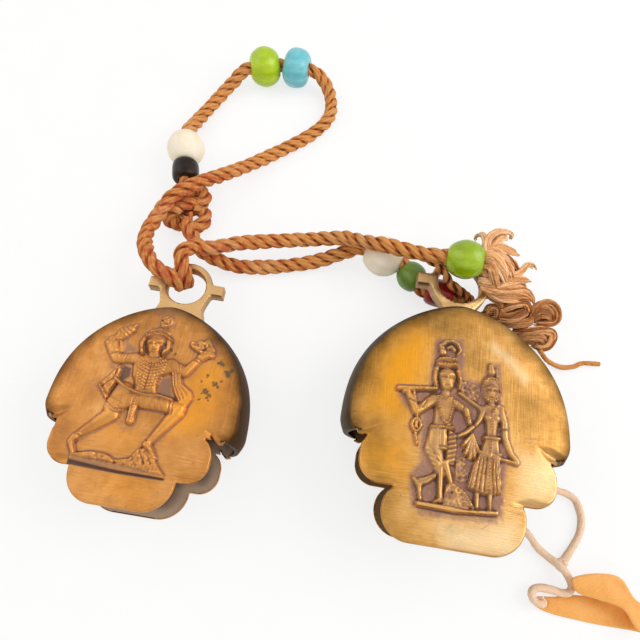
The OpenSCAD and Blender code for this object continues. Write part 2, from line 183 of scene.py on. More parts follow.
def castBrass(name, look):
    # sand-cast brass, filed and brushed by hand: streaks up the dome and across the petals, a painted
    # warm-orange reflection and, where that layer is negative, a painted pale highlight (on the rings it
    # only makes them paler), plum-brown dirt round the figures with painted shade inside the bell and
    # painted shadow under the plinth and the bar, an olive tarnished rim that is also a painted dark
    # reflection, and painted highlights on the polished crests
    material, tree = newMaterial(name)
    local = attribute(tree, "local", "Vector")
    grime, rim, inside = (attribute(tree, layer) for layer in ("grime", "rim", "inside"))
    crest, pits, warm = (attribute(tree, layer) for layer in ("crest", "pits", "warm"))
    cloud = stretchedNoise(tree, local, (0.05, 0.05, 0.08), detail=4)
    blotch = stretchedNoise(tree, local, (0.17, 0.17, 0.17), detail=5, offset=(31, 7, 2))
    speck = stretchedNoise(tree, local, (1.6, 1.6, 1.6), detail=3)
    up = stretchedNoise(tree, local, look["brushUp"], detail=5)
    across = stretchedNoise(tree, local, look["brushAcross"], detail=5)
    height = addNode(tree, "SeparateXYZ", {0: local}, out="Y")
    onDome = between(tree, added(tree, blotch, 8, height), -1, 9)
    brush = addNode(tree, "Mix", {0: onDome, 2: across, 3: up}, out=0)
    fineScratch = stretchedNoise(tree, local, (0.4, 4.0, 1.0), detail=2, offset=(3, 9, 4))
    fleck = stretchedNoise(tree, local, (0.55, 0.55, 0.55), detail=2, offset=(9, 4, 6))

    # the file bit in some places and slid in others
    bite = stretchedNoise(tree, local, (0.09, 0.12, 0.1), offset=(4, 2, 9))
    bite = between(tree, bite, 0.4, 0.62, 0.1, 0.42)
    streak = times(tree, sums(tree, "SUBTRACT", brush, 0.5), bite)
    tone = added(tree, cloud, 0.75, sums(tree, "ADD", streak, 0.12))
    tone = added(tree, sums(tree, "SUBTRACT", fineScratch, 0.5), 0.16, tone)
    colour = ramp(tree, tone, [(0.36, look["worn"]), (0.5, look["body"]), (0.64, look["bright"])])
    colour = coat(tree, between(tree, blotch, 0.52, 0.75, 0, 0.5), colour, look["worn"])
    colour = coat(tree, between(tree, fleck, 0.66, 0.72, 0, 0.5), colour, look["grime"])
    # painted warm-orange reflection where the layer is positive
    warmReflection = times(tree, warm, between(tree, cloud, 0.3, 0.62, 0.35, 1))
    colour = coat(tree, warmReflection, colour, look["warm"])
    # painted pale highlight where the layer is negative on the bells; on the rings a paler tone all over
    lightened = times(tree, warm, added(tree, streak, -0.8, -0.9))
    colour = coat(tree, lightened, colour, look["pale"])
    # painted highlight on the crests, which are also polished
    colour = coat(tree, times(tree, crest, 0.55), colour, look["bright"])
    # the inside: duller brass with painted shade in it, dark brown on the right bell
    colour = coat(tree, times(tree, inside, 0.85), colour, look["inside"])
    # the grime layer also holds painted shadow under the plinth and the bar, and painted shade inside the
    # bell
    dirt = added(tree, blotch, 0.5, added(tree, speck, 0.3, grime))
    dirt = added(tree, fleck, 0.5, added(tree, crest, -0.4, dirt))
    dirt = between(tree, dirt, 0.84, 1.5)
    colour = coat(tree, times(tree, dirt, 0.85), colour, look["grime"])
    colour = coat(tree, between(tree, grime, 0.84, 1.0, 0, 0.75), colour, look["deep"])
    # olive tarnished rim, darker towards the back as a painted dark reflection
    tarnishAndShade = between(tree, added(tree, blotch, 0.5, rim), 0.3, 1.05)
    colour = coat(tree, times(tree, tarnishAndShade, 0.92), colour, look["rim"])
    eaten = between(tree, added(tree, speck, 0.9, pits), 0.6, 1.4, 0, 0.85)
    colour = coat(tree, eaten, colour, look["pit"])

    matt = sums(tree, "MAXIMUM", sums(tree, "MAXIMUM", dirt, inside), eaten)
    rough = added(tree, sums(tree, "MAXIMUM", matt, tarnishAndShade), 0.22, look["roughness"])
    rough = added(tree, brush, 0.2, sums(tree, "SUBTRACT", rough, 0.1))
    metal = between(tree, matt, 0, 1, 1, 0.35)
    relief = added(tree, brush, look["brushDepth"], times(tree, speck, 0.12))
    relief = added(tree, fineScratch, 0.24, relief)
    relief = added(tree, eaten, -0.4, relief)
    bump = addNode(tree, "Bump", {"Height": relief, "Strength": 0.5, "Distance": 0.0004})
    endMaterial(tree, {"Base Color": colour, "Metallic": metal, "Roughness": rough, "Normal": bump})
    return material


def brassWire(name, look):
    # drawn brass inside the bell: plain, dull and brown with handling dirt
    material, tree = newMaterial(name)
    place = addNode(tree, "TexCoord", out="Object")
    cloud = stretchedNoise(tree, place, (140, 140, 140), detail=4)
    colour = ramp(tree, cloud, [(0.35, look["grime"]), (0.6, look["worn"]), (0.8, look["body"])])
    bump = addNode(tree, "Bump", {"Height": cloud, "Strength": 0.3, "Distance": 0.0003})
    rough = between(tree, cloud, 0.3, 0.8, 0.55, 0.4)
    endMaterial(tree, {"Base Color": colour, "Metallic": 0.8, "Roughness": rough, "Normal": bump})
    return material


ropeLook = {"crevice": "#552408", "body": "#b06026", "crown": "#de9852", "stain": "#be4c2c",
            "pale": "#e6b078", "fibreSize": 2.6}
tasselLook = {"crevice": "#9a5826", "body": "#f4b070", "crown": "#fddaae", "stain": "#b4662f",
              "pale": "#ffe8c4", "fibreSize": 3.0}
stringLook = {"crevice": "#c8946a", "body": "#f0c49a", "crown": "#ffdcbc", "stain": "#c9a27e",
              "pale": "#ffe6cc", "fibreSize": 3.4}


def twistedCotton(name, look):
    # twisted cotton yarn: painted shade between the strands and a painted highlight on their crowns, with
    # short stray fibres
    material, tree = newMaterial(name)
    fibre = attribute(tree, "fibre", "Vector")
    crown, stained = attribute(tree, "crown"), attribute(tree, "stain")
    size = look["fibreSize"]
    hair = stretchedNoise(tree, fibre, (size, size, 0.55), detail=5)
    lint = stretchedNoise(tree, fibre, (0.7, 0.7, 0.5), detail=4, offset=(8, 3, 1))
    patchy = stretchedNoise(tree, fibre, (0.02, 0.02, 0.07), detail=3, offset=(5, 1, 8))
    lit = added(tree, hair, 0.6, times(tree, crown, 1.05))
    lit = added(tree, lint, 0.5, sums(tree, "SUBTRACT", lit, 0.62))
    colour = ramp(tree, lit, [(0.22, look["crevice"]), (0.56, look["body"]), (0.92, look["crown"])])
    pale = between(tree, patchy, 0.5, 0.66, 0, 0.5)
    colour = coat(tree, times(tree, pale, crown), colour, look["pale"])
    spots = stretchedNoise(tree, fibre, (0.12, 0.12, 0.42), detail=2, offset=(2, 9, 5))
    dyed = times(tree, stained, between(tree, spots, 0.45, 0.62, 0.05, 0.7))
    colour = coat(tree, dyed, colour, look["stain"])
    thread = added(tree, lint, 0.6, hair)
    bump = addNode(tree, "Bump", {"Height": thread, "Strength": 0.9, "Distance": 0.0005})
    endMaterial(tree, {"Base Color": colour, "Roughness": 0.9, "Normal": bump, "Sheen Weight": 0.06,
                       "Sheen Roughness": 0.5, "Specular IOR Level": 0.3})
    return material


def mouldedBead(name, look):
    # moulded bead: even colour under a clear skin, faint swirls, dust in the hole, fine wear
    material, tree = newMaterial(name)
    local = attribute(tree, "local", "Vector")
    grime = attribute(tree, "grime")
    swirl = stretchedNoise(tree, local, (0.12, 0.12, 0.4), detail=3)
    speck = stretchedNoise(tree, local, (1.3, 1.3, 1.3), detail=4, offset=(2, 4, 6))
    colour = ramp(tree, swirl, [(0.3, look["dark"]), (0.52, look["body"]), (0.75, look["light"])])
    worn = between(tree, speck, 0.6, 0.8, 0, look["wear"])
    colour = coat(tree, worn, colour, look["dust"])
    colour = coat(tree, times(tree, grime, 0.8), colour, look["dust"])
    rough = added(tree, speck, 0.14, look["roughness"] - 0.05)
    bump = addNode(tree, "Bump", {"Height": speck, "Strength": look["dents"], "Distance": 0.0004})
    endMaterial(tree, {"Base Color": colour, "Roughness": rough, "Normal": bump,
                       "Specular IOR Level": look["shine"], "Subsurface Weight": look["glow"],
                       "Subsurface Radius": (0.001, 0.001, 0.0006)})
    return material


beadLooks = {
    "lime": {"dark": "#9ebb0a", "body": "#abc80f", "light": "#bcd824", "dust": "#66761c", "wear": 0.15,
             "roughness": 0.15, "dents": 0.15, "glow": 0.1, "shine": 0.5},
    "blue": {"dark": "#5fb4c4", "body": "#70c2ce", "light": "#88d2d8", "dust": "#a9bcb8", "wear": 0.15,
             "roughness": 0.2, "dents": 0.3, "glow": 0.1, "shine": 0.5},
    "ivory": {"dark": "#eee0c6", "body": "#f6ead2", "light": "#fbf2e0", "dust": "#b59a76", "wear": 0.15,
              "roughness": 0.36, "dents": 0.3, "glow": 0.15, "shine": 0.4},
    "black": {"dark": "#160d07", "body": "#24170e", "light": "#382516", "dust": "#4a3424", "wear": 0.3,
              "roughness": 0.1, "dents": 0.5, "glow": 0.0, "shine": 0.22},
    "olive": {"dark": "#86a206", "body": "#96b30c", "light": "#a9c820", "dust": "#66761c", "wear": 0.15,
              "roughness": 0.12, "dents": 0.15, "glow": 0.1, "shine": 0.5},
    "green": {"dark": "#567420", "body": "#66882a", "light": "#82a044", "dust": "#4c5a2a", "wear": 0.2,
              "roughness": 0.26, "dents": 0.3, "glow": 0.05, "shine": 0.4},
    "red": {"dark": "#6e0c08", "body": "#9a160c", "light": "#b4281a", "dust": "#6a2418", "wear": 0.25,
            "roughness": 0.2, "dents": 0.3, "glow": 0.05, "shine": 0.4},
}

cardLook = {"body": "#f0a850", "pale": "#fabf74", "dark": "#d98a2e", "roughness": 0.55}


def tagCard(name, look):
    # smooth pulp card, yellow-orange: fine short fibres and a little rubbing along the fold
    material, tree = newMaterial(name)
    local = attribute(tree, "local", "Vector")
    pulp = stretchedNoise(tree, local, (1.2, 3.2, 1.2), detail=5)
    cloud = stretchedNoise(tree, local, (0.07, 0.07, 0.07), detail=3, offset=(1, 5, 2))
    lightened = attribute(tree, "grime")
    tone = added(tree, cloud, 0.6, times(tree, pulp, 0.4))
    colour = ramp(tree, tone, [(0.3, look["dark"]), (0.5, look["body"]), (0.72, look["pale"])])
    colour = coat(tree, times(tree, lightened, 0.6), colour, look["pale"])
    bump = addNode(tree, "Bump", {"Height": pulp, "Strength": 0.35, "Distance": 0.0002})
    endMaterial(tree, {"Base Color": colour, "Roughness": look["roughness"], "Normal": bump})
    return material


leftBrass = castBrass("cast brass, filed, warm", leftBrassLook)
rightBrass = castBrass("cast brass, brushed, yellow", rightBrassLook)
leftWire = brassWire("brass wire, left bell", leftBrassLook)
rightWire = brassWire("brass wire, right bell", rightBrassLook)
ropeCotton = twistedCotton("three-strand cotton rope, dyed", ropeLook)
tasselCotton = twistedCotton("combed-out cotton yarn", tasselLook)
stringCotton = twistedCotton("thin cotton string, bleached", stringLook)
beadPlastic = {key: mouldedBead("moulded bead, " + key, look) for key, look in beadLooks.items()}
card = tagCard("pulp card, coloured", cardLook)
for side, wire in (("left", leftWire), ("right", rightWire)):
    for part in ("wire", "ball", "staple"):
        slots = frame["nodes"][side + "_clapper_" + part].data.materials
        slots.clear()
        slots.append(wire)
print("materials made")


# helpers for meshes, all in millimetres until the mesh is made


def makeObject(name, points, faces, body, material, layers, sharp=None):
    mesh = bpy.data.meshes.new(name)
    mesh.from_pydata((np.asarray(points) * mm).tolist(), [], faces)
    mesh.polygons.foreach_set("use_smooth", [True] * len(mesh.polygons))
    for layerName, values in layers.items():
        values = np.asarray(values, dtype=np.float32)
        kind = "FLOAT" if values.ndim == 1 else "FLOAT_VECTOR"
        layer = mesh.attributes.new(layerName, kind, "POINT")
        layer.data.foreach_set("value" if values.ndim == 1 else "vector", values.ravel())
    if sharp is not None:
        mesh.set_sharp_from_angle(angle=math.radians(sharp))
    mesh.materials.append(material)
    mesh.update()
    piece = bpy.data.objects.new(name, mesh)
    bpy.context.scene.collection.objects.link(piece)
    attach(piece, body)
    return piece


def unit(v):
    return v / np.linalg.norm(v, axis=-1, keepdims=True)


def smoothLine(points, step):
    # a curve through the points, cut again at an even step
    p = np.asarray(points, dtype=float)
    p = np.vstack([2 * p[0] - p[1], p, 2 * p[-1] - p[-2]])
    t = np.linspace(0, 1, 24, endpoint=False)[:, None]
    parts = []
    for a, b, c, d in zip(p[:-3], p[1:-2], p[2:-1], p[3:]):
        curve = 2 * b + (c - a) * t + (2 * a - 5 * b + 4 * c - d) * t**2
        parts.append(0.5 * (curve + (3 * b - a - 3 * c + d) * t**3))
    line = np.vstack(parts + [p[-2:-1]])
    along = np.concatenate([[0], np.cumsum(np.linalg.norm(np.diff(line, axis=0), axis=1))])
    count = max(2, int(round(along[-1] / step)) + 1)
    even = np.linspace(0, along[-1], count)
    return np.column_stack([np.interp(even, along, line[:, k]) for k in range(3)]), even


def carryFrames(line):
    # two directions square to the line, carried along it without twist
    heading = unit(np.gradient(line, axis=0))
    start = np.cross(heading[0], [0.0, 0.0, 1.0])
    if np.linalg.norm(start) < 0.1:
        start = np.cross(heading[0], [0.0, 1.0, 0.0])
    across = [unit(start)]
    for h in heading[1:]:
        across.append(unit(across[-1] - h * np.dot(across[-1], h)))
    across = np.array(across)
    return heading, across, np.cross(heading, across)


def tubeFaces(rings, sides, first):
    faces = []
    for i in range(rings - 1):
        for k in range(sides):
            n = (k + 1) % sides
            a, b = first + i * sides, first + (i + 1) * sides
            faces.append((a + k, a + n, b + n, b + k))
    faces.append(tuple(first + sides - 1 - k for k in range(sides)))
    faces.append(tuple(first + (rings - 1) * sides + k for k in range(sides)))
    return faces


def layStrands(line, along, rope, phase):
    # strands wound right-handed round the line, each with the furrows of its yarns
    _, across, over = carryFrames(line)
    count, sides = rope["strands"], rope["sides"]
    radius = rope["thick"] / 2
    strandR = radius / (1 + 1 / math.sin(math.pi / count)) * 1.2 if count > 1 else radius
    offset = radius - strandR if count > 1 else 0.0
    angle = np.linspace(0, 2 * np.pi, sides, endpoint=False)
    points, faces, fibre, crown = [], [], [], []
    for s in range(count):
        turn = 2 * np.pi * (along / rope["lay"] + s / count) + phase
        out = np.cos(turn)[:, None] * across + np.sin(turn)[:, None] * over
        centre = line + offset * out
        forward = unit(np.gradient(centre, axis=0))
        side = unit(np.cross(forward, out))
        out = np.cross(side, forward)
        wobble = chance.uniform(0, 6.28, 3)
        lump = 1 + 0.045 * np.sin(along / 2.9 + wobble[0]) + 0.03 * np.sin(along / 0.9 + wobble[1])
        yarn = angle[None, :] * rope["yarns"] + 2 * np.pi * along[:, None] / rope["yarnLay"]
        r = strandR * lump[:, None] * (1 + rope["furrow"] * (np.abs(np.cos(yarn / 2)) * 2 - 1.27))
        r = r + chance.normal(0, rope["fuzz"], r.shape)
        ring = np.cos(angle)[None, :, None] * out[:, None] + np.sin(angle)[None, :, None] * side[:, None]
        place = centre[:, None] + r[..., None] * ring
        first = sum(len(p) for p in points)
        points.append(place.reshape(-1, 3))
        faces += tubeFaces(len(line), sides, first)
        wound = angle[None, :] + 2 * np.pi * along[:, None] / (rope["yarnLay"] * rope["yarns"])
        fibre.append(np.stack([np.cos(wound) * strandR + 7 * s, np.sin(wound) * strandR,
                               along[:, None] + 0 * wound], axis=-1).reshape(-1, 3))
        # painted light: crown runs from painted shade in the crevices and yarn furrows to a painted highlight
        # on the strands' tops
        depth = np.linalg.norm(place - line[:, None], axis=-1) / radius
        furrow = 0.25 * (1 - np.abs(np.cos(yarn / 2)))
        crown.append(np.clip((depth - 0.6) / 0.36, 0, 1).ravel() - furrow.ravel())
    return np.vstack(points), faces, np.vstack(fibre), np.concatenate(crown)


# cords first, in millimetres: the solids' own routes, eased where a real cord would bend softer

loopRoute = [
    (-75.5, 18, 8), (-76, 24, 7.6), (-79.3, 37.2, 7.6), (-82.5, 50, 7.6), (-81, 62, 4),
    (-76.5, 76, 2.7), (-71.5, 85, 4.5), (-65, 91.1, 8.5), (-51.4, 95.6, 8.5), (-37.5, 95, 8.5),
    (-31, 92, 5), (-27.4, 85, 2.7), (-27, 75, 2.7), (-33, 64.5, 2.7), (-43, 54.5, 2.8),
    (-54, 42.5, 5), (-62.5, 32, 9.4), (-70, 23, 13.6), (-77.5, 16, 13.6), (-82, 7, 11),
    (-83, -2.5, 12.4), (-78.5, -12, 17.4), (-73.8, -17.2, 18.2), (-70, -18.8, 17.4), (-67.3, -19.5, 15.2),
    (-66, -19.4, 12.6), (-65.8, -18.6, 10.4),
]
hitchRoute = [
    (-67.4, -10.4, 7.4), (-66.7, -13, 7.1), (-65.6, -15.5, 8.1), (-64.6, -17.2, 10.2),
    (-64.2, -17.7, 12.5), (-64.4, -17.2, 15), (-65, -15.4, 17.1), (-66, -12.9, 17.9),
    (-66.7, -10.5, 17.7), (-65.8, -7.9, 17.1), (-63.1, -5.6, 15.9),
]
upperRoute = [
    (-58, -4.3, 14.2), (-50, 0.6, 11.8), (-38.5, 5.5, 9), (-25, 9, 8.6), (-12.5, 10, 11.6),
    (-5, 7.2, 15.6), (1.7, 5.1, 18.8), (8.5, 3.8, 19.8), (15.5, 2.9, 20.2), (22.2, 1.7, 22.4),
    (35.6, 0.4, 25),
]
lowerRoute = [
    (-72, 9, 7.6), (-67.5, 2.6, 8.6), (-61.5, -3, 7.6), (-51, -4.6, 4.6), (-41, -2.6, 2.8),
    (-30.5, 0.2, 2.7), (-21, 3.3, 3.4), (-11.5, 7, 6.2), (-4, 9.3, 7.9), (11, 5.3, 7.3),
    (18.9, -2.5, 5), (25.6, -3.4, 5.5), (33, -4.5, 5.8),
]
strandRoute = [
    (18.5, 1.1, 20), (22, -0.6, 19.6), (25, -2.7, 18.1), (26.9, -3.8, 14.9), (30.5, -4.7, 13.2),
    (34.8, -5, 9),
]
yarnRoute = [
    (62.5, -19.5, 5), (66, -22.4, 3.4), (71.5, -23.2, 1.5), (76, -22.2, 1.3), (79.5, -20.3, 1.3),
    (85.5, -19.6, 1.3),
]
stringRoute = [
    (70.4, -88, 1.6), (73.6, -83.4, 1.2), (76, -79, 1.2), (76.9, -74, 1.2), (75.4, -69, 1.3),
    (72.3, -67.2, 1.8), (68, -66.8, 3.2), (61, -65.4, 4), (53, -62.6, 3.6), (46, -63, 3.2),
    (42.5, -68, 3), (45, -74, 3), (51, -77, 3.2), (56, -79.4, 3.4), (59.6, -82, 3),
    (62.7, -85, 1.7), (66, -87.2, 1.8), (69.2, -89.6, 3.4), (71.5, -92, 2.9), (72.4, -94.4, 2.9),
    (71.6, -96.2, 2.9), (69.6, -96.7, 2.9), (66, -96.3, 2.9), (62.8, -96.3, 2.9), (60.9, -97.1, 2.9),
    (60.3, -98.6, 3), (61.1, -100.1, 3.1), (62.8, -100.7, 3), (64.2, -100.4, 1.9), (64.5, -100.2, 0.6),
]

rope = {"thick": 5.5, "lay": 14.2, "strands": 3, "yarns": 6, "yarnLay": 2.6, "furrow": 0.08,
        "sides": 28, "fuzz": 0.03, "step": 0.45}
singleStrand = {"thick": 3.3, "lay": 9, "strands": 2, "yarns": 5, "yarnLay": 2.4, "furrow": 0.08,
                "sides": 20, "fuzz": 0.03, "step": 0.4}
yarn = {"thick": 1.7, "lay": 9, "strands": 1, "yarns": 7, "yarnLay": 5, "furrow": 0.04,
        "sides": 24, "fuzz": 0.03, "step": 0.4}
# one soft thick yarn with hardly any twist
tagString = {"thick": 2.3, "lay": 9, "strands": 1, "yarns": 9, "yarnLay": 4, "furrow": 0.025,
             "sides": 28, "fuzz": 0.02, "step": 0.3}


def reddened(points):
    # 1 where the rope is stained red-orange, by the knot and the left ring
    centre = np.array([-72.0, -2.0, 10.0])
    far = np.linalg.norm((points - centre) * [1, 0.8, 0.6], axis=1)
    return np.clip((42 - far) / 22, 0, 1)


def makeRope(name, routes, kind, body, material, replaced, phase=0.0):
    # one piece, laid along one route or, for a knot, along several
    points, faces, fibre, crown = [], [], [], []
    for k, route in enumerate(routes):
        line, along = smoothLine(route, kind["step"])
        laid, laidFaces, wound, lit = layStrands(line, along, kind, phase + 1.7 * k)
        first = sum(len(p) for p in points)
        points.append(laid)
        faces += [tuple(v + first for v in face) for face in laidFaces]
        fibre.append(wound + 20 * k)
        crown.append(lit)
    points = np.vstack(points)
    layers = {"fibre": np.vstack(fibre), "crown": np.concatenate(crown), "stain": reddened(points)}
    piece = makeObject(name, points, faces, body, material, layers)
    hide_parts(*replaced)
    return piece, line, along[-1]


loopCord, loopLine, loopLength = makeRope(
    "hangingLoop", [loopRoute], rope, "rope_set", ropeCotton, ["hanging_loop_cord"])
upperCord, upperLine, upperLength = makeRope(
    "hitchAndUpperSpan", [hitchRoute + upperRoute], rope, "rope_set", ropeCotton,
    ["left_ring_hitch", "upper_span_cord"], 0.8)
lowerCord, lowerLine, lowerLength = makeRope(
    "lowerSpan", [lowerRoute], rope, "rope_set", ropeCotton, ["lower_span_cord"], 2.0)
ringStrand, _, _ = makeRope(
    "ringStrand", [strandRoute], singleStrand, "rope_set", ropeCotton, ["right_ring_strand"])
strayYarn, _, _ = makeRope(
    "strayYarn", [yarnRoute], yarn, "rope_set", ropeCotton, ["stray_yarn"])
stringCord, stringLine, stringLength = makeRope(
    "tagString", [stringRoute], tagString, "right_bell", stringCotton, ["tag_string"])
print("cords:", round(loopLength), round(upperLength), round(lowerLength), round(stringLength), "mm")


# shapes drawn as distances: negative inside, in millimetres


def fromPoint(p, centre, radius=0):
    return np.linalg.norm(p - np.asarray(centre, dtype=float), axis=-1) - radius


def boxDistance(p, centre, half):
    q = np.abs(p - np.asarray(centre, dtype=float)) - np.asarray(half, dtype=float)
    outside = np.linalg.norm(np.maximum(q, 0), axis=-1)
    return outside + np.minimum(np.max(q, axis=-1), 0)


def barDistance(p, a, b, radiusA, radiusB):
    # a limb: round at both ends and tapering between them
    a, b = np.asarray(a, dtype=float), np.asarray(b, dtype=float)
    t = np.clip((p - a) @ (b - a) / max(np.dot(b - a, b - a), 1e-9), 0, 1)
    return np.linalg.norm(p - a - t[..., None] * (b - a), axis=-1) - (radiusA + (radiusB - radiusA) * t)


def patchDistance(p, corners):
    c = np.asarray(corners, dtype=float)
    nearest = np.full(p.shape[:-1], 1e9)
    inside = np.zeros(p.shape[:-1], dtype=bool)
    for a, b in zip(c, np.roll(c, -1, axis=0)):
        nearest = np.minimum(nearest, barDistance(p, a, b, 0, 0))
        crosses = (a[1] > p[..., 1]) != (b[1] > p[..., 1])
        if a[1] != b[1]:
            at = a[0] + (p[..., 1] - a[1]) * (b[0] - a[0]) / (b[1] - a[1])
            inside ^= crosses & (p[..., 0] < at)
    return np.where(inside, -nearest, nearest)


def join(first, second, soft):
    # union of two shapes with a fillet of this size
    h = np.clip(0.5 + 0.5 * (second - first) / soft, 0, 1)
    return second * (1 - h) + first * h - soft * h * (1 - h)


def lattice(field, low, high, step):
    # an even net over the plane, cut to where field is negative, with its edge on the line
    xs = np.arange(low[0], high[0] + step, step)
    ys = np.arange(low[1], high[1] + step, step)
    net = np.stack(np.meshgrid(xs, ys), axis=-1)
    d = field(net)

    def toLine(p):
        nudge = 0.02
        for _ in range(3):
            gradient = np.stack([field(p + [nudge, 0]) - field(p - [nudge, 0]),
                                 field(p + [0, nudge]) - field(p - [0, nudge])], axis=-1) / (2 * nudge)
            size = np.maximum(np.sum(gradient**2, axis=-1, keepdims=True), 0.2)
            p = p - np.clip(field(p)[..., None] * gradient / size, -0.5 * step, 0.5 * step)
        return p

    near = np.abs(d) < 0.4 * step
    net[near] = toLine(net[near])
    sign = np.where(near, 0, np.sign(d)).astype(int)
    rows, columns = sign.shape
    index = np.arange(rows * columns).reshape(rows, columns)
    corners = np.stack([index[:-1, :-1], index[:-1, 1:], index[1:, 1:], index[1:, :-1]], axis=-1)
    signs = np.stack([sign[:-1, :-1], sign[:-1, 1:], sign[1:, 1:], sign[1:, :-1]], axis=-1)
    points = list(net.reshape(-1, 2))
    whole = (signs <= 0).all(axis=-1) & (signs < 0).any(axis=-1)
    faces = [tuple(c) for c in corners[whole].tolist()]
    mixed = (signs > 0).any(axis=-1) & (signs < 0).any(axis=-1)
    flat = d.reshape(-1)
    cuts, cutPoints = {}, []
    for cell, cellSigns in zip(corners[mixed].tolist(), signs[mixed].tolist()):
        polygon = []
        for k in range(4):
            a, b = cell[k], cell[(k + 1) % 4]
            if cellSigns[k] <= 0:
                polygon.append(a)
            if cellSigns[k] * cellSigns[(k + 1) % 4] < 0:
                key = (min(a, b), max(a, b))
                if key not in cuts:
                    share = flat[key[0]] / (flat[key[0]] - flat[key[1]])
                    cuts[key] = len(points) + len(cutPoints)
                    cutPoints.append(points[key[0]] * (1 - share) + points[key[1]] * share)
                polygon.append(cuts[key])
        if len(polygon) > 2:
            faces.append(tuple(polygon))
    if cutPoints:
        points += list(toLine(np.array(cutPoints)))
    points = np.array(points)
    used = np.unique(np.concatenate([np.array(f) for f in faces]))
    renamed = np.full(len(points), -1)
    renamed[used] = np.arange(len(used))
    faces = [tuple(int(renamed[v]) for v in f) for f in faces]
    return points[used], faces, edgeLoops(faces)


def edgeLoops(faces):
    sides = {side for f in faces for side in zip(f, f[1:] + f[:1])}
    following = {a: b for a, b in sides if (b, a) not in sides}
    loops = []
    while following:
        start = next(iter(following))
        loop, v = [], start
        while v in following:
            loop.append(v)
            v = following.pop(v)
        loops.append(loop)
    return sorted(loops, key=len, reverse=True)


def slabFaces(faces, loops, count):
    # a net's faces, the same net turned over as the other side, and walls round its edges
    found = list(faces) + [tuple(v + count for v in f)[::-1] for f in faces]
    for loop in loops:
        found += [(a, a + count, b + count, b) for a, b in zip(loop, loop[1:] + loop[:1])]
    return found


def roundedDrop(inside, radius):
    # how far a surface falls towards an edge rounded to this radius
    reach = np.clip(radius - inside, 0, radius)
    return radius - np.sqrt(np.maximum(radius**2 - reach**2, 0))


def nearestOf(points, targets):
    # for each point, which target is nearest and how far it is
    tree = KDTree(len(targets))
    for i, t in enumerate(targets):
        tree.insert((t[0], t[1], 0), i)
    tree.balance()
    found = [tree.find((p[0], p[1], 0)) for p in points]
    return np.array([f[1] for f in found]), np.array([f[2] for f in found])


# carved figures: one height field for each bell, in that bell's own millimetres


def startCarving(low, high, step):
    xs = np.arange(low[0], high[0], step)
    ys = np.arange(low[1], high[1], step)
    ground = np.stack(np.meshgrid(xs, ys), axis=-1)
    empty = np.zeros(ground.shape[:2])
    return {"low": np.array(low), "step": step, "p": ground, "height": empty,
            "stain": empty.copy(), "pits": empty.copy(), "warm": empty.copy()}


def window(c, points, reach):
    # the part of the field that this feature can touch
    p = np.atleast_2d(points)
    low = np.floor((p.min(axis=0) - reach - c["low"]) / c["step"]).astype(int)
    high = np.ceil((p.max(axis=0) + reach - c["low"]) / c["step"]).astype(int) + 1
    rows, columns = c["height"].shape
    low = np.clip(low, 0, [columns - 1, rows - 1])
    high = np.clip(high, low + 1, [columns, rows])
    return slice(low[1], high[1]), slice(low[0], high[0])


def chainDistance(p, points, radii):
    radii = np.interp(np.linspace(0, 1, len(points)), np.linspace(0, 1, len(radii)), radii)
    d = np.full(p.shape[:-1], 1e9)
    for k in range(len(points) - 1):
        d = np.minimum(d, barDistance(p, points[k], points[k + 1], radii[k], radii[k + 1]))
    return d


def domed(d, edge):
    # 0 at the outline, 1 where it is this far inside
    t = np.clip(-d / edge, 0, 1)
    return np.sqrt(1 - (1 - t) ** 2)


def limb(c, points, radii, height):
    area = window(c, points, max(radii) + 0.5)
    lift = height * domed(chainDistance(c["p"][area], points, radii), 0.9 * max(radii))
    c["height"][area] = np.maximum(c["height"][area], lift)


def patch(c, corners, height, edge):
    area = window(c, corners, 0.5)
    lift = height * domed(patchDistance(c["p"][area], corners), edge)
    c["height"][area] = np.maximum(c["height"][area], lift)


def crease(c, points, depth, width=0.3):
    # a fold or seam: a ridge where depth is positive, a groove where it isn't
    area = window(c, points, 3 * width)
    d = chainDistance(c["p"][area], points, [0, 0])
    c["height"][area] = np.maximum(c["height"][area] + depth * np.exp(-(d / width) ** 2), 0)


def pearl(c, centre, radius, height):
    area = window(c, centre, radius)
    d = fromPoint(c["p"][area], centre, radius)
    c["height"][area] += 1.35 * height * domed(d, radius)


def pearls(c, points, gap, radius, height):
    p = np.asarray(points, dtype=float)
    along = np.concatenate([[0], np.cumsum(np.linalg.norm(np.diff(p, axis=0), axis=1))])
    for s in np.linspace(0, along[-1], max(2, int(along[-1] / gap) + 1)):
        pearl(c, (np.interp(s, along, p[:, 0]), np.interp(s, along, p[:, 1])), radius, height)


def punched(c, corners, count, depth, size):
    # small dents struck all over a patch, as texture on cloth, mail or rock
    corners = np.asarray(corners, dtype=float)
    spots = chance.uniform(corners.min(axis=0), corners.max(axis=0), (count, 2))
    for spot in spots[patchDistance(spots, corners) < -0.3]:
        area = window(c, spot, 2.5 * size)
        d = fromPoint(c["p"][area], spot)
        c["height"][area] = np.maximum(c["height"][area] - depth * np.exp(-(d / size) ** 2), 0)


def stain(c, corners, amount, soft):
    area = window(c, corners, soft)
    d = patchDistance(c["p"][area], corners)
    c["stain"][area] = np.maximum(c["stain"][area], amount * np.clip(0.5 - d / soft, 0, 1))


def paintedShine(c, corners, amount, soft):
    # painted reflection: a warm orange on the brass, or a painted pale highlight when the amount is negative
    area = window(c, corners, soft)
    d = patchDistance(c["p"][area], corners)
    c["warm"][area] += amount * np.clip(0.5 - d / soft, 0, 1) * (1 - np.abs(c["warm"][area]))


def scratched(c, marks):
    # thin scratches that have filled with dirt
    halfWidth, dark, soft = 0.09, 0.95, 0.5
    for start, end in marks:
        start, end = np.array(start), np.array(end)
        side = unit(np.array([start[1] - end[1], end[0] - start[0]])) * halfWidth
        stain(c, [start - side, end - side, end + side, start + side], dark, soft)


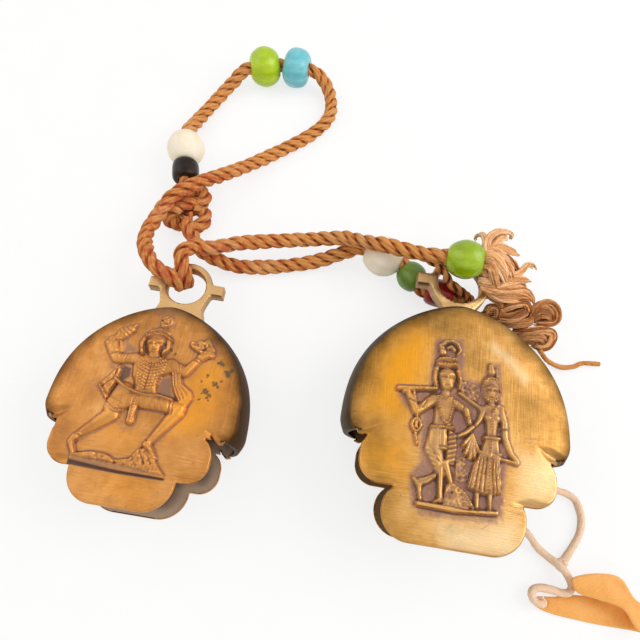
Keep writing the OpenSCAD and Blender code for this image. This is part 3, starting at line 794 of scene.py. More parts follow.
def calmFace(c, chin, crown, width):
    # a plain face by the usual thirds: brow, end of the nose, chin
    chin, crown = np.array(chin, dtype=float), np.array(crown, dtype=float)
    up = crown - chin
    across = unit(np.array([up[1], -up[0]])) * width / 2

    def at(x, y):
        return tuple(chin + up * y + across * x)

    limb(c, [at(0, 0.62), at(0, 0.3)], [width / 2, width * 0.38], 2.05)
    for side in (-1, 1):
        crease(c, [at(side * 0.75, 0.56), at(side * 0.2, 0.54)], -0.45, 0.28)
        pearl(c, at(side * 0.45, 0.49), 0.4, 0.3)
        crease(c, [at(side * 0.8, 0.66), at(side * 0.4, 0.7), at(side * 0.12, 0.64)], 0.28, 0.22)
    crease(c, [at(0, 0.6), at(0, 0.38)], 0.42, 0.26)
    crease(c, [at(-0.32, 0.24), at(0.32, 0.24)], -0.4, 0.17)
    crease(c, [at(-0.24, 0.18), at(0.24, 0.18)], 0.2, 0.2)


def softened(field, cells):
    # running mean over both directions
    for axis in (0, 1):
        pad = [(cells + 1, cells) if k == axis else (0, 0) for k in (0, 1)]
        total = np.cumsum(np.pad(field, pad, mode="edge"), axis=axis)
        far = np.take(total, range(2 * cells + 1, total.shape[axis]), axis=axis)
        near = np.take(total, range(0, total.shape[axis] - 2 * cells - 1), axis=axis)
        field = (far - near) / (2 * cells + 1)
    return field


def finishCarving(c):
    # worn edges; where grime lies, painted shadows given as stains included; and the crests that hands
    # polish, which also get a painted highlight
    reach = 0.9
    height = 0.35 * c["height"] + 0.65 * softened(c["height"], 1)
    around = softened(softened(height, int(reach / c["step"])), int(0.6 * reach / c["step"]))
    hollow = np.clip((around - height) / 0.42, 0, 1)
    tight = np.clip((softened(softened(height, 2), 2) - height) / 0.13, 0, 1) * (height > 0.25)
    c["height"] = height
    stained = c["stain"] * np.clip(1.15 - height / 2, 0.55, 1)
    c["grime"] = np.maximum(np.maximum(hollow, 0.85 * tight), stained)
    c["crest"] = np.clip((height - around) / 0.6, 0, 1)
    return c


def readCarving(c, points):
    # values of the field under these points, between its cells
    q = (points - c["low"]) / c["step"]
    rows, columns = c["height"].shape
    inside = (q[:, 0] >= 0) & (q[:, 1] >= 0) & (q[:, 0] < columns - 1) & (q[:, 1] < rows - 1)
    cell = np.clip(np.floor(q).astype(int), 0, [columns - 2, rows - 2])
    x, y = (q - cell).T
    found = []
    for name in ("height", "grime", "crest", "pits", "warm"):
        f = c[name]
        a = f[cell[:, 1], cell[:, 0]] * (1 - x) + f[cell[:, 1], cell[:, 0] + 1] * x
        b = f[cell[:, 1] + 1, cell[:, 0]] * (1 - x) + f[cell[:, 1] + 1, cell[:, 0] + 1] * x
        found.append(np.where(inside, a * (1 - y) + b * y, 0))
    return found


def carve(parts, step):
    c = startCarving((-34, -30), (34, 46), step)
    for part in parts:
        part(c)
    return finishCarving(c)


def striderGround(c):
    # a rough plinth, cracked along its upper edge, with a painted shadow underneath
    plinth = [(-17.9, -13.5), (-14, -12.4), (-11.5, -11.8), (-8.3, -11.6), (-4.8, -12.3), (-3.4, -13.2),
              (1.1, -12.1), (3.1, -8.6), (5.2, -8.2), (9.3, -11.2), (14, -16.1), (13.6, -16.8),
              (-3.6, -16.7), (-18.1, -16)]
    patch(c, plinth, 1.5, 0.5)
    punched(c, plinth[:11] + [(-16, -14)], 200, 0.3, 0.5)
    for a, b in (((-10, -12), (-8.6, -14)), ((-4.6, -12.6), (-3, -14.4)), ((3.6, -9.4), (6.4, -13.2)),
                 ((5.4, -9), (8.4, -12.8)), ((1.8, -11.6), (3.8, -14.4))):
        crease(c, [a, b], -0.5, 0.35)
    under = c["p"][..., 1] + 14.6 + 0.09 * (c["p"][..., 0] + 18)
    c["height"] *= np.clip(1 + under / 2.1, 0.35, 1)
    crease(c, [(-18, -14.2), (-2.4, -14.3), (13.4, -16)], -0.4, 0.3)
    # painted shadow under the plinth's front edge
    stain(c, [(-18.4, -14.4), (-2.4, -14.6), (13.8, -16.2), (13.8, -17.2), (-1.6, -17.4), (-18.4, -16.9)],
          1.4, 0.6)


def striderScarf(c):
    # the two ends of a scarf that hang from the arms
    scarfLeft = [(-10.6, 18.6), (-12, 17.1), (-13.4, 14.2), (-16.5, 10.1), (-12.2, 5.2), (-11.6, 9),
                 (-10.1, 12.6), (-10, 16)]
    patch(c, scarfLeft, 1.25, 0.45)
    punched(c, scarfLeft, 90, 0.3, 0.3)
    crease(c, [(-11.2, 17.4), (-12, 13), (-14.6, 10)], -0.5)
    crease(c, [(-15.5, 10.6), (-12.2, 7)], -0.6, 0.35)
    crease(c, [(-10.9, 16.4), (-11.2, 12.4), (-12.2, 8)], 0.3)
    scarfRight = [(6.8, 18.8), (8.1, 14.4), (9.7, 11.1), (12.6, 7.6), (14.7, 6.9), (16.4, 10.4),
                  (15.5, 12.7), (11.6, 15), (10, 18.8)]
    patch(c, scarfRight, 1.3, 0.45)
    crease(c, [(7.7, 18.6), (9.1, 14), (12.4, 9.2)], -0.55)
    crease(c, [(8.7, 18.5), (10.1, 14.3), (13.3, 10)], -0.5)
    crease(c, [(9.4, 18), (10.8, 14.5), (14.3, 11.4)], -0.45)


def striderMace(c):
    # the raised arm and the mace over its shoulder
    limb(c, [(-16.4, 26.4), (-12.4, 30.6)], [1.5, 2.0], 1.5)
    limb(c, [(-13.5, 29.8), (-11.1, 31.6)], [2.4, 1.8], 1.9)
    limb(c, [(-11.2, 31.8), (-9.5, 33.8)], [1.0, 0.4], 1.3)
    for shift in (0, 1.1, 2.2):
        crease(c, [(-15 + shift, 30.8 + 0.7 * shift), (-12.6 + shift, 28.2 + 0.8 * shift)], -0.45, 0.25)
    limb(c, [(-6.6, 21.4), (-13, 20.3)], [2.0, 1.8], 1.6)
    limb(c, [(-13.4, 20.5), (-16.2, 25.2)], [1.8, 2.3], 1.7)
    limb(c, [(-17.1, 25.4), (-16.3, 27)], [1.7, 1.4], 1.9)
    crease(c, [(-12.4, 20.8), (-12.6, 23.8), (-13.9, 27.2)], 0.8, 0.4)
    crease(c, [(-15.2, 21.4), (-13.2, 22.6)], -0.5)
    for step in (0, 0.9, 1.8):
        crease(c, [(-18.2 + step, 26.2 + 0.5 * step), (-16.6 + step, 26 + 0.4 * step)], -0.4, 0.2)


def striderHill(c):
    # the other arm and the hill on its hand, with armlets on both
    rock = [(10.3, 29.3), (11.3, 31.1), (12.5, 30.6), (13.9, 32.2), (15.2, 31.3), (16.5, 33.3),
            (17.9, 31.9), (18.6, 30.4), (19.9, 29.4), (19.9, 27.9), (20.7, 26), (17.6, 25.4),
            (14.8, 26.7), (11.7, 28)]
    patch(c, rock, 1.45, 0.5)
    punched(c, rock, 70, 0.36, 0.5)
    for tip in rock[1:10:2]:
        crease(c, [tip, (15.4, 28.2)], -0.35, 0.35)
    limb(c, [(6, 21.2), (11.4, 19.2)], [2.2, 1.9], 1.7)
    limb(c, [(11.5, 19.2), (15.3, 25)], [1.8, 1.3], 1.7)
    limb(c, [(15.6, 25.2), (17.5, 26.3)], [1.6, 1.1], 1.8)
    crease(c, [(13.3, 24.2), (15.6, 22.8)], -0.55, 0.25)
    crease(c, [(13.9, 25), (16.2, 23.6)], -0.5, 0.25)
    crease(c, [(8.6, 22.6), (9.4, 19.2)], -0.45, 0.25)
    crease(c, [(-9.4, 23), (-9.8, 19.4)], -0.45, 0.25)


def striderMail(c):
    # a broad chest in a coat of small plates
    chest = [(-6.6, 22), (-2.5, 23.4), (2.6, 23.2), (8.2, 22), (7.2, 18.4), (3.3, 16.1), (3.3, 13),
             (4.4, 9.4), (-3.6, 8.8), (-4.2, 12.2), (-6.2, 15.2), (-6.8, 18.6)]
    patch(c, chest, 1.75, 2.2)
    limb(c, [(-4.2, 19.2), (-2.6, 18.6)], [2.4, 2.2], 2.0)
    limb(c, [(1.6, 18.6), (3.2, 19.2)], [2.2, 2.4], 2.0)
    for drop in np.arange(0, 9.2, 1.15):
        wide = 5 - 0.16 * drop
        for row in ([(-wide, 20.6), (-0.5 * wide, 19.7), (-0.7, 19.3)],
                    [(0.3, 19.3), (0.5 * wide, 19.7), (wide - 0.6, 20.6)]):
            pearls(c, [(x, y - drop) for x, y in row], 0.98, 0.5, 0.34)
    crease(c, [(-0.6, 20.4), (-0.4, 10.6)], -0.45, 0.35)


def striderLegs(c):
    # a short skirt with its belt and sash, and the legs in a long lunge
    limb(c, [(-7.2, 9.4), (-9, 3.6)], [3.2, 3.3], 1.85)
    skirt = [(-7.8, 10), (-3, 9.3), (1, 8.8), (5.4, 9.3), (8.4, 8.6), (8.4, 5.4), (4, 4.6), (0, 5.4),
             (-4, 3.8), (-7.2, 1.2), (-11.6, 2.9), (-11.9, 5.3)]
    patch(c, skirt, 1.6, 1.6)
    limb(c, [(0.6, 7.2), (12.8, 6.3)], [3.0, 2.3], 2.0)
    limb(c, [(12.3, 5), (5.5, -6.8)], [2.6, 1.2], 1.9)
    limb(c, [(13.2, 6.4), (12.2, 4.6)], [2.0, 2.2], 2.1)
    limb(c, [(5.2, -7), (6.6, -7.9), (9, -10.8)], [1.3, 0.9], 1.8)
    limb(c, [(-8.8, 1.2), (-17.7, -7.6)], [2.8, 1.3], 1.9)
    limb(c, [(-18, -8), (-19, -9.9), (-17.2, -13)], [1.4, 0.9], 1.8)
    crease(c, [(-6.6, -0.2), (-16.8, -8.8)], 0.35, 0.35)
    crease(c, [(-12, 5), (-8.4, 2.8), (-5, 3.2)], -0.6)
    crease(c, [(-11.6, 3.9), (-8.2, 1.9), (-5.4, 2.1)], -0.5)
    crease(c, [(9.2, 9), (9.6, 3.8)], -0.55)
    crease(c, [(10.3, 8.8), (10.7, 3.9)], -0.5)
    for x in (1.6, 3.6, 5.6):
        crease(c, [(x, 8.6), (x + 1.6, 4.6)], -0.3, 0.25)
    for y in (8.4, 6.8):
        crease(c, [(-10.8, y - 1.6), (-6, y - 3.6)], -0.3, 0.25)
    limb(c, [(-10.9, 13), (-7.3, 10.8), (-3, 9.4), (1, 8.9), (5.4, 9.4), (9.6, 8.7)], [0.8, 0.7], 2.25)
    limb(c, [(-2.5, 7.8), (-2.1, -0.4)], [1.25, 1.45], 1.45)
    crease(c, [(-3.4, 7.4), (-3.2, -0.6)], 0.4, 0.22)
    crease(c, [(-1.4, 7.2), (-0.9, -0.6)], 0.4, 0.22)
    pearls(c, [(-2.4, 6.6), (-2.1, -0.6)], 0.95, 0.42, 0.35)
    pearls(c, [(-16.2, -7.4), (-18.2, -6.2)], 0.75, 0.4, 0.35)
    pearls(c, [(4.2, -6), (6.6, -6.6)], 0.75, 0.4, 0.35)


def striderHead(c):
    # neck, hair, face, the crown with its crest, and two necklaces
    limb(c, [(-0.8, 23.4), (-0.8, 22.4)], [2.1, 2.3], 1.4)
    limb(c, [(-5.1, 30.6), (-6.1, 27), (-4.9, 23.6)], [0.9, 0.8], 1.4)
    limb(c, [(3, 29.6), (3.5, 26.8), (2.3, 24.4)], [0.9, 0.8], 1.4)
    pearl(c, (2.6, 25.2), 1.0, 0.5)
    pearl(c, (-5.1, 24.4), 1.0, 0.5)
    limb(c, [(-1.2, 30.4), (-0.4, 31)], [4.0, 3.4], 1.75)
    calmFace(c, (-0.8, 23.4), (-2.3, 30.8), 6)
    limb(c, [(-4.9, 29.6), (-2.2, 31), (1.2, 31), (3.6, 29.8)], [0.75, 0.75], 2.2)
    crease(c, [(-4.4, 31.4), (-1, 32.8), (2.7, 31.8)], -0.55)
    crease(c, [(-3.4, 33), (-0.6, 33.9), (1.8, 33.2)], -0.45)
    pearls(c, [(-4.6, 29.7), (-2.2, 31), (1.2, 31), (3.4, 29.9)], 0.85, 0.38, 0.3)
    limb(c, [(-0.5, 34.6), (0.1, 35)], [1.0, 1.0], 1.5)
    limb(c, [(0.3, 36.7), (0.4, 36.8)], [2.5, 2.5], 1.3)
    pearls(c, [(-1.2, 36.7), (0.3, 38.2), (1.8, 36.7), (0.3, 35.3), (-1.2, 36.7)], 1.1, 0.4, -0.4)
    pearls(c, [(-3.6, 23.4), (-2.6, 22.2), (-0.8, 21.7), (1.2, 22.1), (2.4, 23.3)], 0.8, 0.42, 0.45)
    pearls(c, [(-4.8, 22.4), (-3, 20.4), (-0.8, 19.4), (1.8, 20.2), (3.8, 22.2)], 0.85, 0.42, 0.45)


def striderWear(c):
    # dirt in the corners, pits where acid ate the brass, dirt and painted shade under the hanger ring, and
    # painted warm-orange reflections on one side
    stain(c, [(-10.4, 18.8), (-6.9, 18), (-6.6, 14.6), (-8.6, 12.6), (-10.4, 13)], 0.95, 1.0)
    stain(c, [(3.9, 15.6), (7, 16.6), (8.6, 11.6), (9.4, 9.4), (4.2, 10)], 0.85, 1.0)
    stain(c, [(-12, 28.4), (-6.6, 24.4), (-11.6, 22)], 0.7, 2.0)
    stain(c, [(-15.2, 14.6), (-12.4, 19.2), (-15.4, 19.4)], 0.6, 2.0)
    stain(c, [(-11.6, 8.6), (-8.2, 11.4), (-6.4, 10.4), (-9.6, 6.8)], 0.8, 1.2)
    stain(c, [(-2.2, 33.8), (-3.4, 39), (2.6, 40), (4.2, 34.4)], 0.6, 2.4)
    stain(c, [(-16, -10.6), (-4, -2.8), (-0.4, -0.8), (6.6, 2.6), (3.6, -6.8), (0.4, -11), (-6, -10.6)],
          0.16, 3.0)
    stain(c, [(-8, -1.6), (-3.6, 2.4), (-0.4, -2.8), (-3.8, -5.4)], 0.4, 3.0)
    # dirt and painted shade on the top of the dome, below the hanger ring
    stain(c, [(-13, 41), (0, 38), (13, 40), (11, 48), (-11, 48)], 0.5, 5.0)
    stain(c, [(-22, 12), (-17, 14), (-14, 6), (-19, 2)], 0.3, 5.0)
    pitted = ((22.8, 24.3, 1.1), (26.1, 21.8, 1.5), (19.3, 19.3, 0.8), (22.6, 16.6, 1.1),
              (19.7, 14.1, 0.9), (21.3, 12.1, 1.0), (18.3, 10.6, 0.5), (24.4, 18.4, 0.5),
              (17.6, 17.2, 0.5), (4.6, 26.4, 0.6), (6.2, 25.2, 0.5))
    for x, y, radius in pitted:
        for _ in range(9):
            spot = (x + chance.normal(0, 0.45) * radius, y + chance.normal(0, 0.45) * radius)
            bite = radius * chance.uniform(0.25, 0.6)
            area = window(c, spot, 2 * bite)
            d = fromPoint(c["p"][area], spot)
            c["pits"][area] = np.maximum(c["pits"][area], np.clip(1.5 - d / bite, 0, 1))
    # painted warm-orange reflections on the left bell's brass
    paintedShine(c, [(10, -2), (20, 0), (27, 10), (24, 24), (15, 22), (11, 10)], 1.0, 8)
    paintedShine(c, [(-8, 4), (0, -3), (4, -8), (-6, -9), (-12, -4)], 0.35, 6)
    paintedShine(c, [(-4, -16), (12, -16), (8, -26), (-6, -24)], 0.35, 8)


# the ground behind the two figures, struck rough and left dark
couplePanel = [
    (-9.4, 30.2), (-0.2, 31.2), (0.6, 17.8), (6.6, 18.6), (7, 24.9), (11.2, 25.2), (12, 12), (14, 8.4),
    (14, -3.4), (12.8, -20.4), (-12.6, -21.6), (-13.7, -12.4), (-11.2, -8), (-11.4, -4.6), (-12, 6),
    (-16.6, 6.2), (-19, 9.6), (-19.6, 13.3), (-9.8, 14.2),
]


def coupleGround(c):
    # a mound at the feet, leaves between the heads and cloth between the bodies
    punched(c, couplePanel, 420, -0.25, 0.3)
    mound = [(-4.2, -19.2), (-3.5, -13.8), (-1.6, -12.7), (0.3, -13.8), (2.5, -15), (4.9, -18.8),
             (4.7, -19.8), (-4, -19.6)]
    patch(c, mound, 1.1, 0.5)
    punched(c, mound, 110, 0.34, 0.4)
    leaves = [(-1.5, 16.7), (0.6, 17.4), (3, 17.2), (5.2, 15.8), (5, 11.3), (0, 12.4)]
    patch(c, leaves, 0.75, 0.4)
    punched(c, leaves, 90, 0.4, 0.33)
    limb(c, [(0.9, -7.2), (1, -10.6)], [2.0, 1.9], 0.95)
    punched(c, [(-0.9, -5.6), (2.8, -5.6), (2.8, -12), (-0.9, -12)], 80, 0.35, 0.33)
    crease(c, [(-0.9, -6), (-0.8, -11.8), (1, -12.8)], 0.4, 0.25)


def playerHead(c):
    # a feather over a crown with two rows of beads, long hair, neck and face
    limb(c, [(-3.8, 29.7), (-5.9, 29.3), (-7.3, 27.6), (-6.5, 25.4)], [0.55, 1.15], 1.5)
    limb(c, [(-3.8, 29.7), (-2.1, 29), (-1.3, 27), (-2.2, 25.3)], [0.6, 0.45], 1.2)
    limb(c, [(-5.3, 27.2), (-4.2, 27.9), (-3.2, 26.8)], [0.6, 0.7], 1.1)
    for y in (26.4, 27.4, 28.4):
        crease(c, [(-7.9, y), (-5.9, y + 0.3)], -0.35, 0.2)
    crown = [(-8.5, 20.4), (-8.5, 22.7), (-7.7, 23.8), (-5.2, 24.5), (-2.7, 24.3), (-1.9, 23.3),
             (-1.8, 21.2), (-5, 20.4)]
    patch(c, crown, 1.7, 0.8)
    pearls(c, [(-8, 21.3), (-5, 21.5), (-2.1, 22)], 0.9, 0.45, 0.45)
    pearls(c, [(-7.6, 23), (-5, 23.7), (-2.5, 23.4)], 1.0, 0.5, 0.5)
    crease(c, [(-8.3, 22.2), (-5, 22.5), (-2, 22.8)], -0.5, 0.22)
    limb(c, [(-8.2, 20), (-8.5, 17), (-7.9, 14.4)], [0.8, 0.7], 1.2)
    limb(c, [(-1.6, 20.2), (-0.9, 17.4), (-1, 14.8)], [0.8, 0.7], 1.2)
    pearls(c, [(-8.3, 19), (-8.1, 14.6)], 0.9, 0.4, 0.3)
    pearls(c, [(-1.3, 19.4), (-0.9, 15)], 0.9, 0.4, 0.3)
    limb(c, [(-4.9, 12.6), (-5, 11.6)], [1.5, 1.9], 1.1)
    calmFace(c, (-4.6, 13.1), (-5, 21), 5.5)


def playerBody(c):
    # the trunk with its garland and necklace, both arms and the flute
    torso = [(-8.9, 10.8), (-6.6, 12.2), (-3.2, 12.2), (-1.5, 10.4), (-2.1, 7.2), (-2.7, 4.2), (-2.6, 1.6),
             (-8.2, 1.6), (-8.1, 4.6), (-8, 8)]
    patch(c, torso, 1.45, 1.6)
    pearls(c, [(-7.7, 11.4), (-6.8, 7.2), (-5.6, 4.1), (-4.6, 3.3), (-3.5, 4.4), (-2.8, 7.6), (-2.4, 11.4)],
           0.85, 0.46, 0.6)
    pearls(c, [(-6.9, 11.6), (-5, 10.4), (-3.2, 11.6)], 0.75, 0.38, 0.4)
    limb(c, [(-8.4, 10.2), (-13, 5.9)], [1.7, 1.4], 1.6)
    limb(c, [(-13.3, 6), (-16.2, 11.2)], [1.4, 1.0], 1.6)
    limb(c, [(-13.4, 7), (-14.6, 12)], [0.6, 0.6], 1.3)
    limb(c, [(-17.2, 11.4), (-14.6, 12.6)], [0.9, 0.8], 1.7)
    crease(c, [(-10.4, 9.6), (-11.7, 7)], -0.5, 0.22)
    crease(c, [(-15.9, 9), (-14, 8.6)], -0.5, 0.22)
    limb(c, [(-19, 12), (-8, 13.5)], [0.85, 0.7], 1.8)
    for x in (-13, -11.8, -10.6):
        pearl(c, (x, 12.9 + 0.12 * (x + 13)), 0.3, -0.4)
    limb(c, [(-2.2, 10), (1.3, 8.4), (2.4, 4.8)], [1.5, 0.9], 1.5)
    limb(c, [(3.4, 3.6), (1.4, 1.6), (-0.7, 0.4)], [0.8, 0.7], 1.4)
    crease(c, [(0.6, 9.6), (0.2, 7.6)], -0.5, 0.22)
    pearls(c, [(1.6, 6), (3.2, 6.3)], 0.7, 0.38, 0.4)
    limb(c, [(-1, 13.3), (2.6, 11.2), (6, 9.4)], [0.6, 0.7], 1.15)


def playerLegs(c):
    # wrapped cloth with a sash, one leg crossed over the other
    limb(c, [(-6.7, 0.4), (-7.4, -4.6)], [2.6, 2.8], 1.75)
    limb(c, [(-7.4, -4.6), (-4.9, -11.2)], [2.7, 1.3], 1.7)
    ribs = [(-3.8, 1.8), (-1.3, 1), (-0.7, -3.6), (-1.4, -8.2), (-4, -8.4)]
    patch(c, ribs, 1.3, 0.5)
    for y in np.arange(0.6, -8, -1.35):
        crease(c, [(-3.9, y - 0.6), (-0.7, y + 0.5)], -0.6, 0.26)
    for y in np.arange(-5.4, -9.6, -1.2):
        crease(c, [(-9.8, y + 0.2), (-6.6, y - 0.6), (-4.2, y - 2.4)], -0.3, 0.26)
    crease(c, [(-9.7, 0.8), (-9, -3.4), (-5.4, -8.8)], -0.3, 0.25)
    sash = [(-6.4, 1.5), (-4.1, 1.8), (-3.7, -4.4), (-6.2, -4.7)]
    patch(c, sash, 2.1, 0.35)
    crease(c, [(-5.8, 0.8), (-5.7, -4)], -0.35, 0.2)
    crease(c, [(-4.6, 0.9), (-4.3, -3.9)], -0.35, 0.2)
    crease(c, [(-6.2, -3.6), (-3.8, -3.4)], -0.4, 0.2)
    limb(c, [(-8.5, 1.9), (-2.3, 2.3)], [0.75, 0.75], 1.9)
    pearls(c, [(-8.3, 1.9), (-2.5, 2.3)], 0.9, 0.38, 0.35)
    limb(c, [(-5.2, -9.6), (-4.8, -18.4)], [0.95, 0.75], 1.6)
    limb(c, [(-3.9, -8), (-2.1, -13)], [1.2, 0.8], 1.5)
    limb(c, [(-4.9, -18.2), (-6.4, -18.9)], [0.8, 0.5], 1.5)
    calf = [(-13.4, -12.7), (-11.4, -13.2), (-9.4, -12.5), (-6.2, -10.7), (-6.1, -12.3), (-8.4, -14.5),
            (-9.8, -15), (-10.2, -16.2), (-11.4, -15.8), (-12.2, -14.8)]
    patch(c, calf, 1.45, 0.7)
    crease(c, [(-12.4, -13.6), (-9.6, -13.6), (-7, -12)], -0.35, 0.2)
    limb(c, [(-10.8, -15.2), (-10.2, -18.8)], [0.8, 0.55], 1.4)


def playerTassel(c):
    # a hoop and a cord's end that hang from the elbow
    limb(c, [(-12.9, 4.6), (-12.9, 3.4)], [0.45, 0.45], 1.2)
    hoop = [(-12.9 + 1.3 * math.cos(a), 1.8 + 1.9 * math.sin(a)) for a in np.linspace(0, 2 * np.pi, 13)]
    limb(c, hoop, [0.5, 0.5], 1.35)
    limb(c, [(-12.9, 2.6), (-12.9, 1.2)], [0.65, 0.65], 1.1)
    limb(c, [(-13, -0.8), (-12.2, -4)], [0.5, 0.35], 1.1)


def coupleFan(c):
    # a fan of long petals, with a pearl on the tip of each
    for x, y in ((0.9, -2), (1.6, -4.4), (2.9, -5.4), (4.2, -4.8), (5.3, -3.2)):
        limb(c, [(3.4, 1.8), (x, y)], [0.4, 0.75], 1.35)
    pearls(c, [(0.9, -1.9), (1.6, -4.3), (2.9, -5.2), (4.2, -4.7), (5.2, -3.2)], 0.9, 0.35, 0.35)


def companionHead(c):
    # a knot of hair, a string of pearls round the face, neck and face
    limb(c, [(8.2, 23.6), (8.5, 21.6)], [0.9, 1.3], 1.3)
    limb(c, [(9.9, 22.6), (10.2, 20.4)], [0.45, 0.5], 1.0)
    limb(c, [(8.5, 17.6), (8.5, 14)], [2.9, 2.4], 1.3)
    ringlet = [(8.5 + 2.75 * math.cos(a), 15.8 + 3.8 * math.sin(a)) for a in np.linspace(0, 2 * np.pi, 21)]
    pearls(c, ringlet, 0.92, 0.45, 0.5)
    limb(c, [(8.8, 11.2), (8.9, 10.2)], [1.2, 1.4], 1.1)
    calmFace(c, (8.5, 11.8), (8.4, 18.2), 4.3)


def companionBody(c):
    # bodice, pleated skirt with a jewelled girdle, feet and both arms
    limb(c, [(6.3, 9.3), (11.4, 10.4)], [1.5, 1.5], 1.3)
    bodice = [(6.2, 10), (11.6, 11), (10.9, 7), (10.4, 1.4), (7.4, 1.2), (6.9, 6.4)]
    patch(c, bodice, 1.5, 1.3)
    limb(c, [(7.6, 7.2), (7.8, 7)], [1.3, 1.3], 1.8)
    limb(c, [(10, 7.4), (10.2, 7.2)], [1.3, 1.3], 1.8)
    pearls(c, [(7.2, 11), (8.8, 9), (10.6, 11.4)], 0.75, 0.38, 0.45)
    pearls(c, [(8.9, 9), (8.7, 2.2)], 0.85, 0.4, 0.4)
    limb(c, [(6.2, 9), (5.4, 6.2), (4.3, 4.4)], [1.0, 0.7], 1.3)
    skirt = [(7, 0.9), (11, 1.1), (11.6, -4.6), (12.2, -14), (9.4, -14.9), (6.6, -15.1), (2.2, -13.9),
             (4.1, -6.4), (5.7, -3)]
    patch(c, skirt, 1.55, 0.8)
    for top, foot in ((5, 2.9), (5.9, 4.3), (6.8, 5.7), (7.7, 7.1), (9.2, 9.6), (10, 10.7), (10.8, 11.7)):
        crease(c, [(top, -4.6), (foot, -14.4)], -0.55, 0.24)
    pearls(c, [(8.5, -0.4), (8.4, -14)], 0.95, 0.4, 0.4)
    crease(c, [(2.6, -13), (6.7, -14.2), (12.1, -13.2)], 0.4, 0.24)
    limb(c, [(6.9, 1.1), (10.9, 1.3)], [0.7, 0.7], 1.85)
    limb(c, [(5.6, -3.2), (8.4, -3.8), (11.5, -3.2)], [0.6, 0.6], 1.85)
    limb(c, [(5.3, -15), (5.4, -18.6)], [0.75, 0.6], 1.3)
    limb(c, [(8.9, -15), (9, -18.4)], [0.75, 0.6], 1.3)
    limb(c, [(11.5, 9.8), (12.6, 6.4), (12.9, 1.8), (14.6, -2.4), (16.4, -4.2)], [1.25, 0.8], 1.5)
    limb(c, [(11.4, -4.2), (16.6, -4.8)], [0.55, 0.6], 1.2)
    crease(c, [(12.4, 5.4), (12.5, 1.6), (14.2, -2.6)], -0.35, 0.22)
    crease(c, [(11.8, 4.2), (13.6, 4.4)], -0.5, 0.22)


def coupleBar(c):
    bar = [(-11.7, -19.4), (-3.2, -19.3), (2.7, -19.5), (11.2, -18.5), (11.3, -19.9), (-0.6, -21),
           (-11.4, -20.8)]
    patch(c, bar, 1.7, 0.45)


def coupleWear(c):
    # dirt on the ground behind them, a painted shadow under the bar, painted warm-orange reflections and pale
    # highlights, and a few scratches
    stain(c, couplePanel, 0.8, 2.2)
    # painted shadow under the bar
    stain(c, [(-11.6, -21), (11.6, -20), (11.6, -22.2), (-10.6, -23.4)], 0.6, 1.6)
    # painted warm-orange reflections, and painted pale highlights where the amount is negative
    paintedShine(c, [(-28, 4), (-17, 2), (-12, 16), (-10, 30), (-16, 34), (-26, 22)], 1.0, 9)
    paintedShine(c, [(-4, 36), (10, 36), (6, 42), (-4, 42)], 0.2, 8)
    paintedShine(c, [(-27, -3), (-15, -3), (-15, -14), (-27, -12)], 0.8, 9)
    paintedShine(c, [(18, -2), (29, -3), (29, -14), (18, -15)], -0.55, 7)
    paintedShine(c, [(-4, -25), (16, -21), (18, -30), (-2, -31)], -0.7, 6)
    paintedShine(c, [(8.5, 29.5), (14, 25), (18.5, 20), (20, 21.5), (15, 27.5), (9, 31.5)], -0.6, 3)
    scratched(c, [[(7.2, -23.8), (9.2, -22.1)], [(14, -16.2), (17.8, -16.9)], [(13.2, -17.8), (17.6, -18.4)],
                  [(18.8, 2.9), (22.8, 3.5)], [(19.6, 1.6), (21.2, 2.4)],
                  [(-20.4, -16.4), (-17.2, -14.8)]])


# a striding figure, mace over one shoulder, a hill held up in the other hand
striderParts = (striderGround, striderScarf, striderMace, striderHill, striderMail, striderLegs,
                striderHead, striderWear)
# a flute player with a companion, on a bar
coupleParts = (coupleGround, playerHead, playerBody, playerLegs, playerTassel, coupleFan, companionHead,
               companionBody, coupleBar, coupleWear)


# bells: two plates joined by a bulging rim over the top and open along the scalloped mouth

bellShape = {
    "midHalfWidth": 35, "sideBulge": 3.6, "cornerHalfWidth": 33.5, "cornerBulge": 4.5,
    "cornerY": -1.9, "widestY": 3, "topY": 46.6, "topBulge": 5.2, "widthPower": 1.3,
    "heightPower": 0.83, "bulgePower": 1.6, "depth": 27, "wall": 1.6, "ringY": 57.2,
    "cornerTooth": [(24, 2), (24.6, -0.2), (27.7, -3.3), (29.2, -2.9), (29.8, -1.9), (29.6, 1)],
    "cut": [(24.2, 0.5), (27.7, -3.1), (28.6, -4.3), (27.4, -3.9), (25.8, -2.2)],
    "web": [(18, 1), (29, 0.4), (28.8, -1.8), (26.6, -3.1), (26.3, -6.5), (20, -8)],
    "notches": [((24.4, 0.2), (1, -0.45)), ((18, -15.8), (1, -0.1))],
    "fileStart": 3.2, "fileRun": 5, "fileDepth": 1.0, "cornerFrom": 25,
    "pillow": 0.9, "pillowReach": 9, "edgeRound": 0.7, "step": 0.27,
}
# notches: the tip of each and the way it opens; the file starts ahead of the tip and runs out to
# its full depth; the back's corners are drawn in from cornerFrom outwards
# a petal or lobe is a rounded box: its middle, half its width and height, and its corner radius
# roundedLobe: the lobe on the right hand, which wears rounder than the left
# cutSide: the side where dome and petals are parted, 0 for neither; shift: how the back plate sits
leftMouth = {"petal": [(0, -9), (26.9, 8), 7], "lobe": [(0, -17.6), (17.5, 10), 9.9],
             "roundedLobe": [(0, -17.6), (17.5, 10), 9.9], "cutSide": 1, "shift": (0, 0)}
rightMouth = {"petal": [(0, -8.6), (28.2, 7.6), 6.6], "lobe": [(0, -22.5), (20.5, 8), 7.9],
              "roundedLobe": [(0, -20.3), (19.6, 10.2), 9.9], "cutSide": 0, "shift": (0.9, 3.0)}


def shareDrawnIn(z, shape):
    # 0 half-way between the plates, where the rim bulges most, and 1 at either plate
    s = np.minimum(1, np.abs(2 * z / shape["depth"] - 1))
    return 1 - (1 - s ** shape["bulgePower"]) ** (1 / shape["bulgePower"])


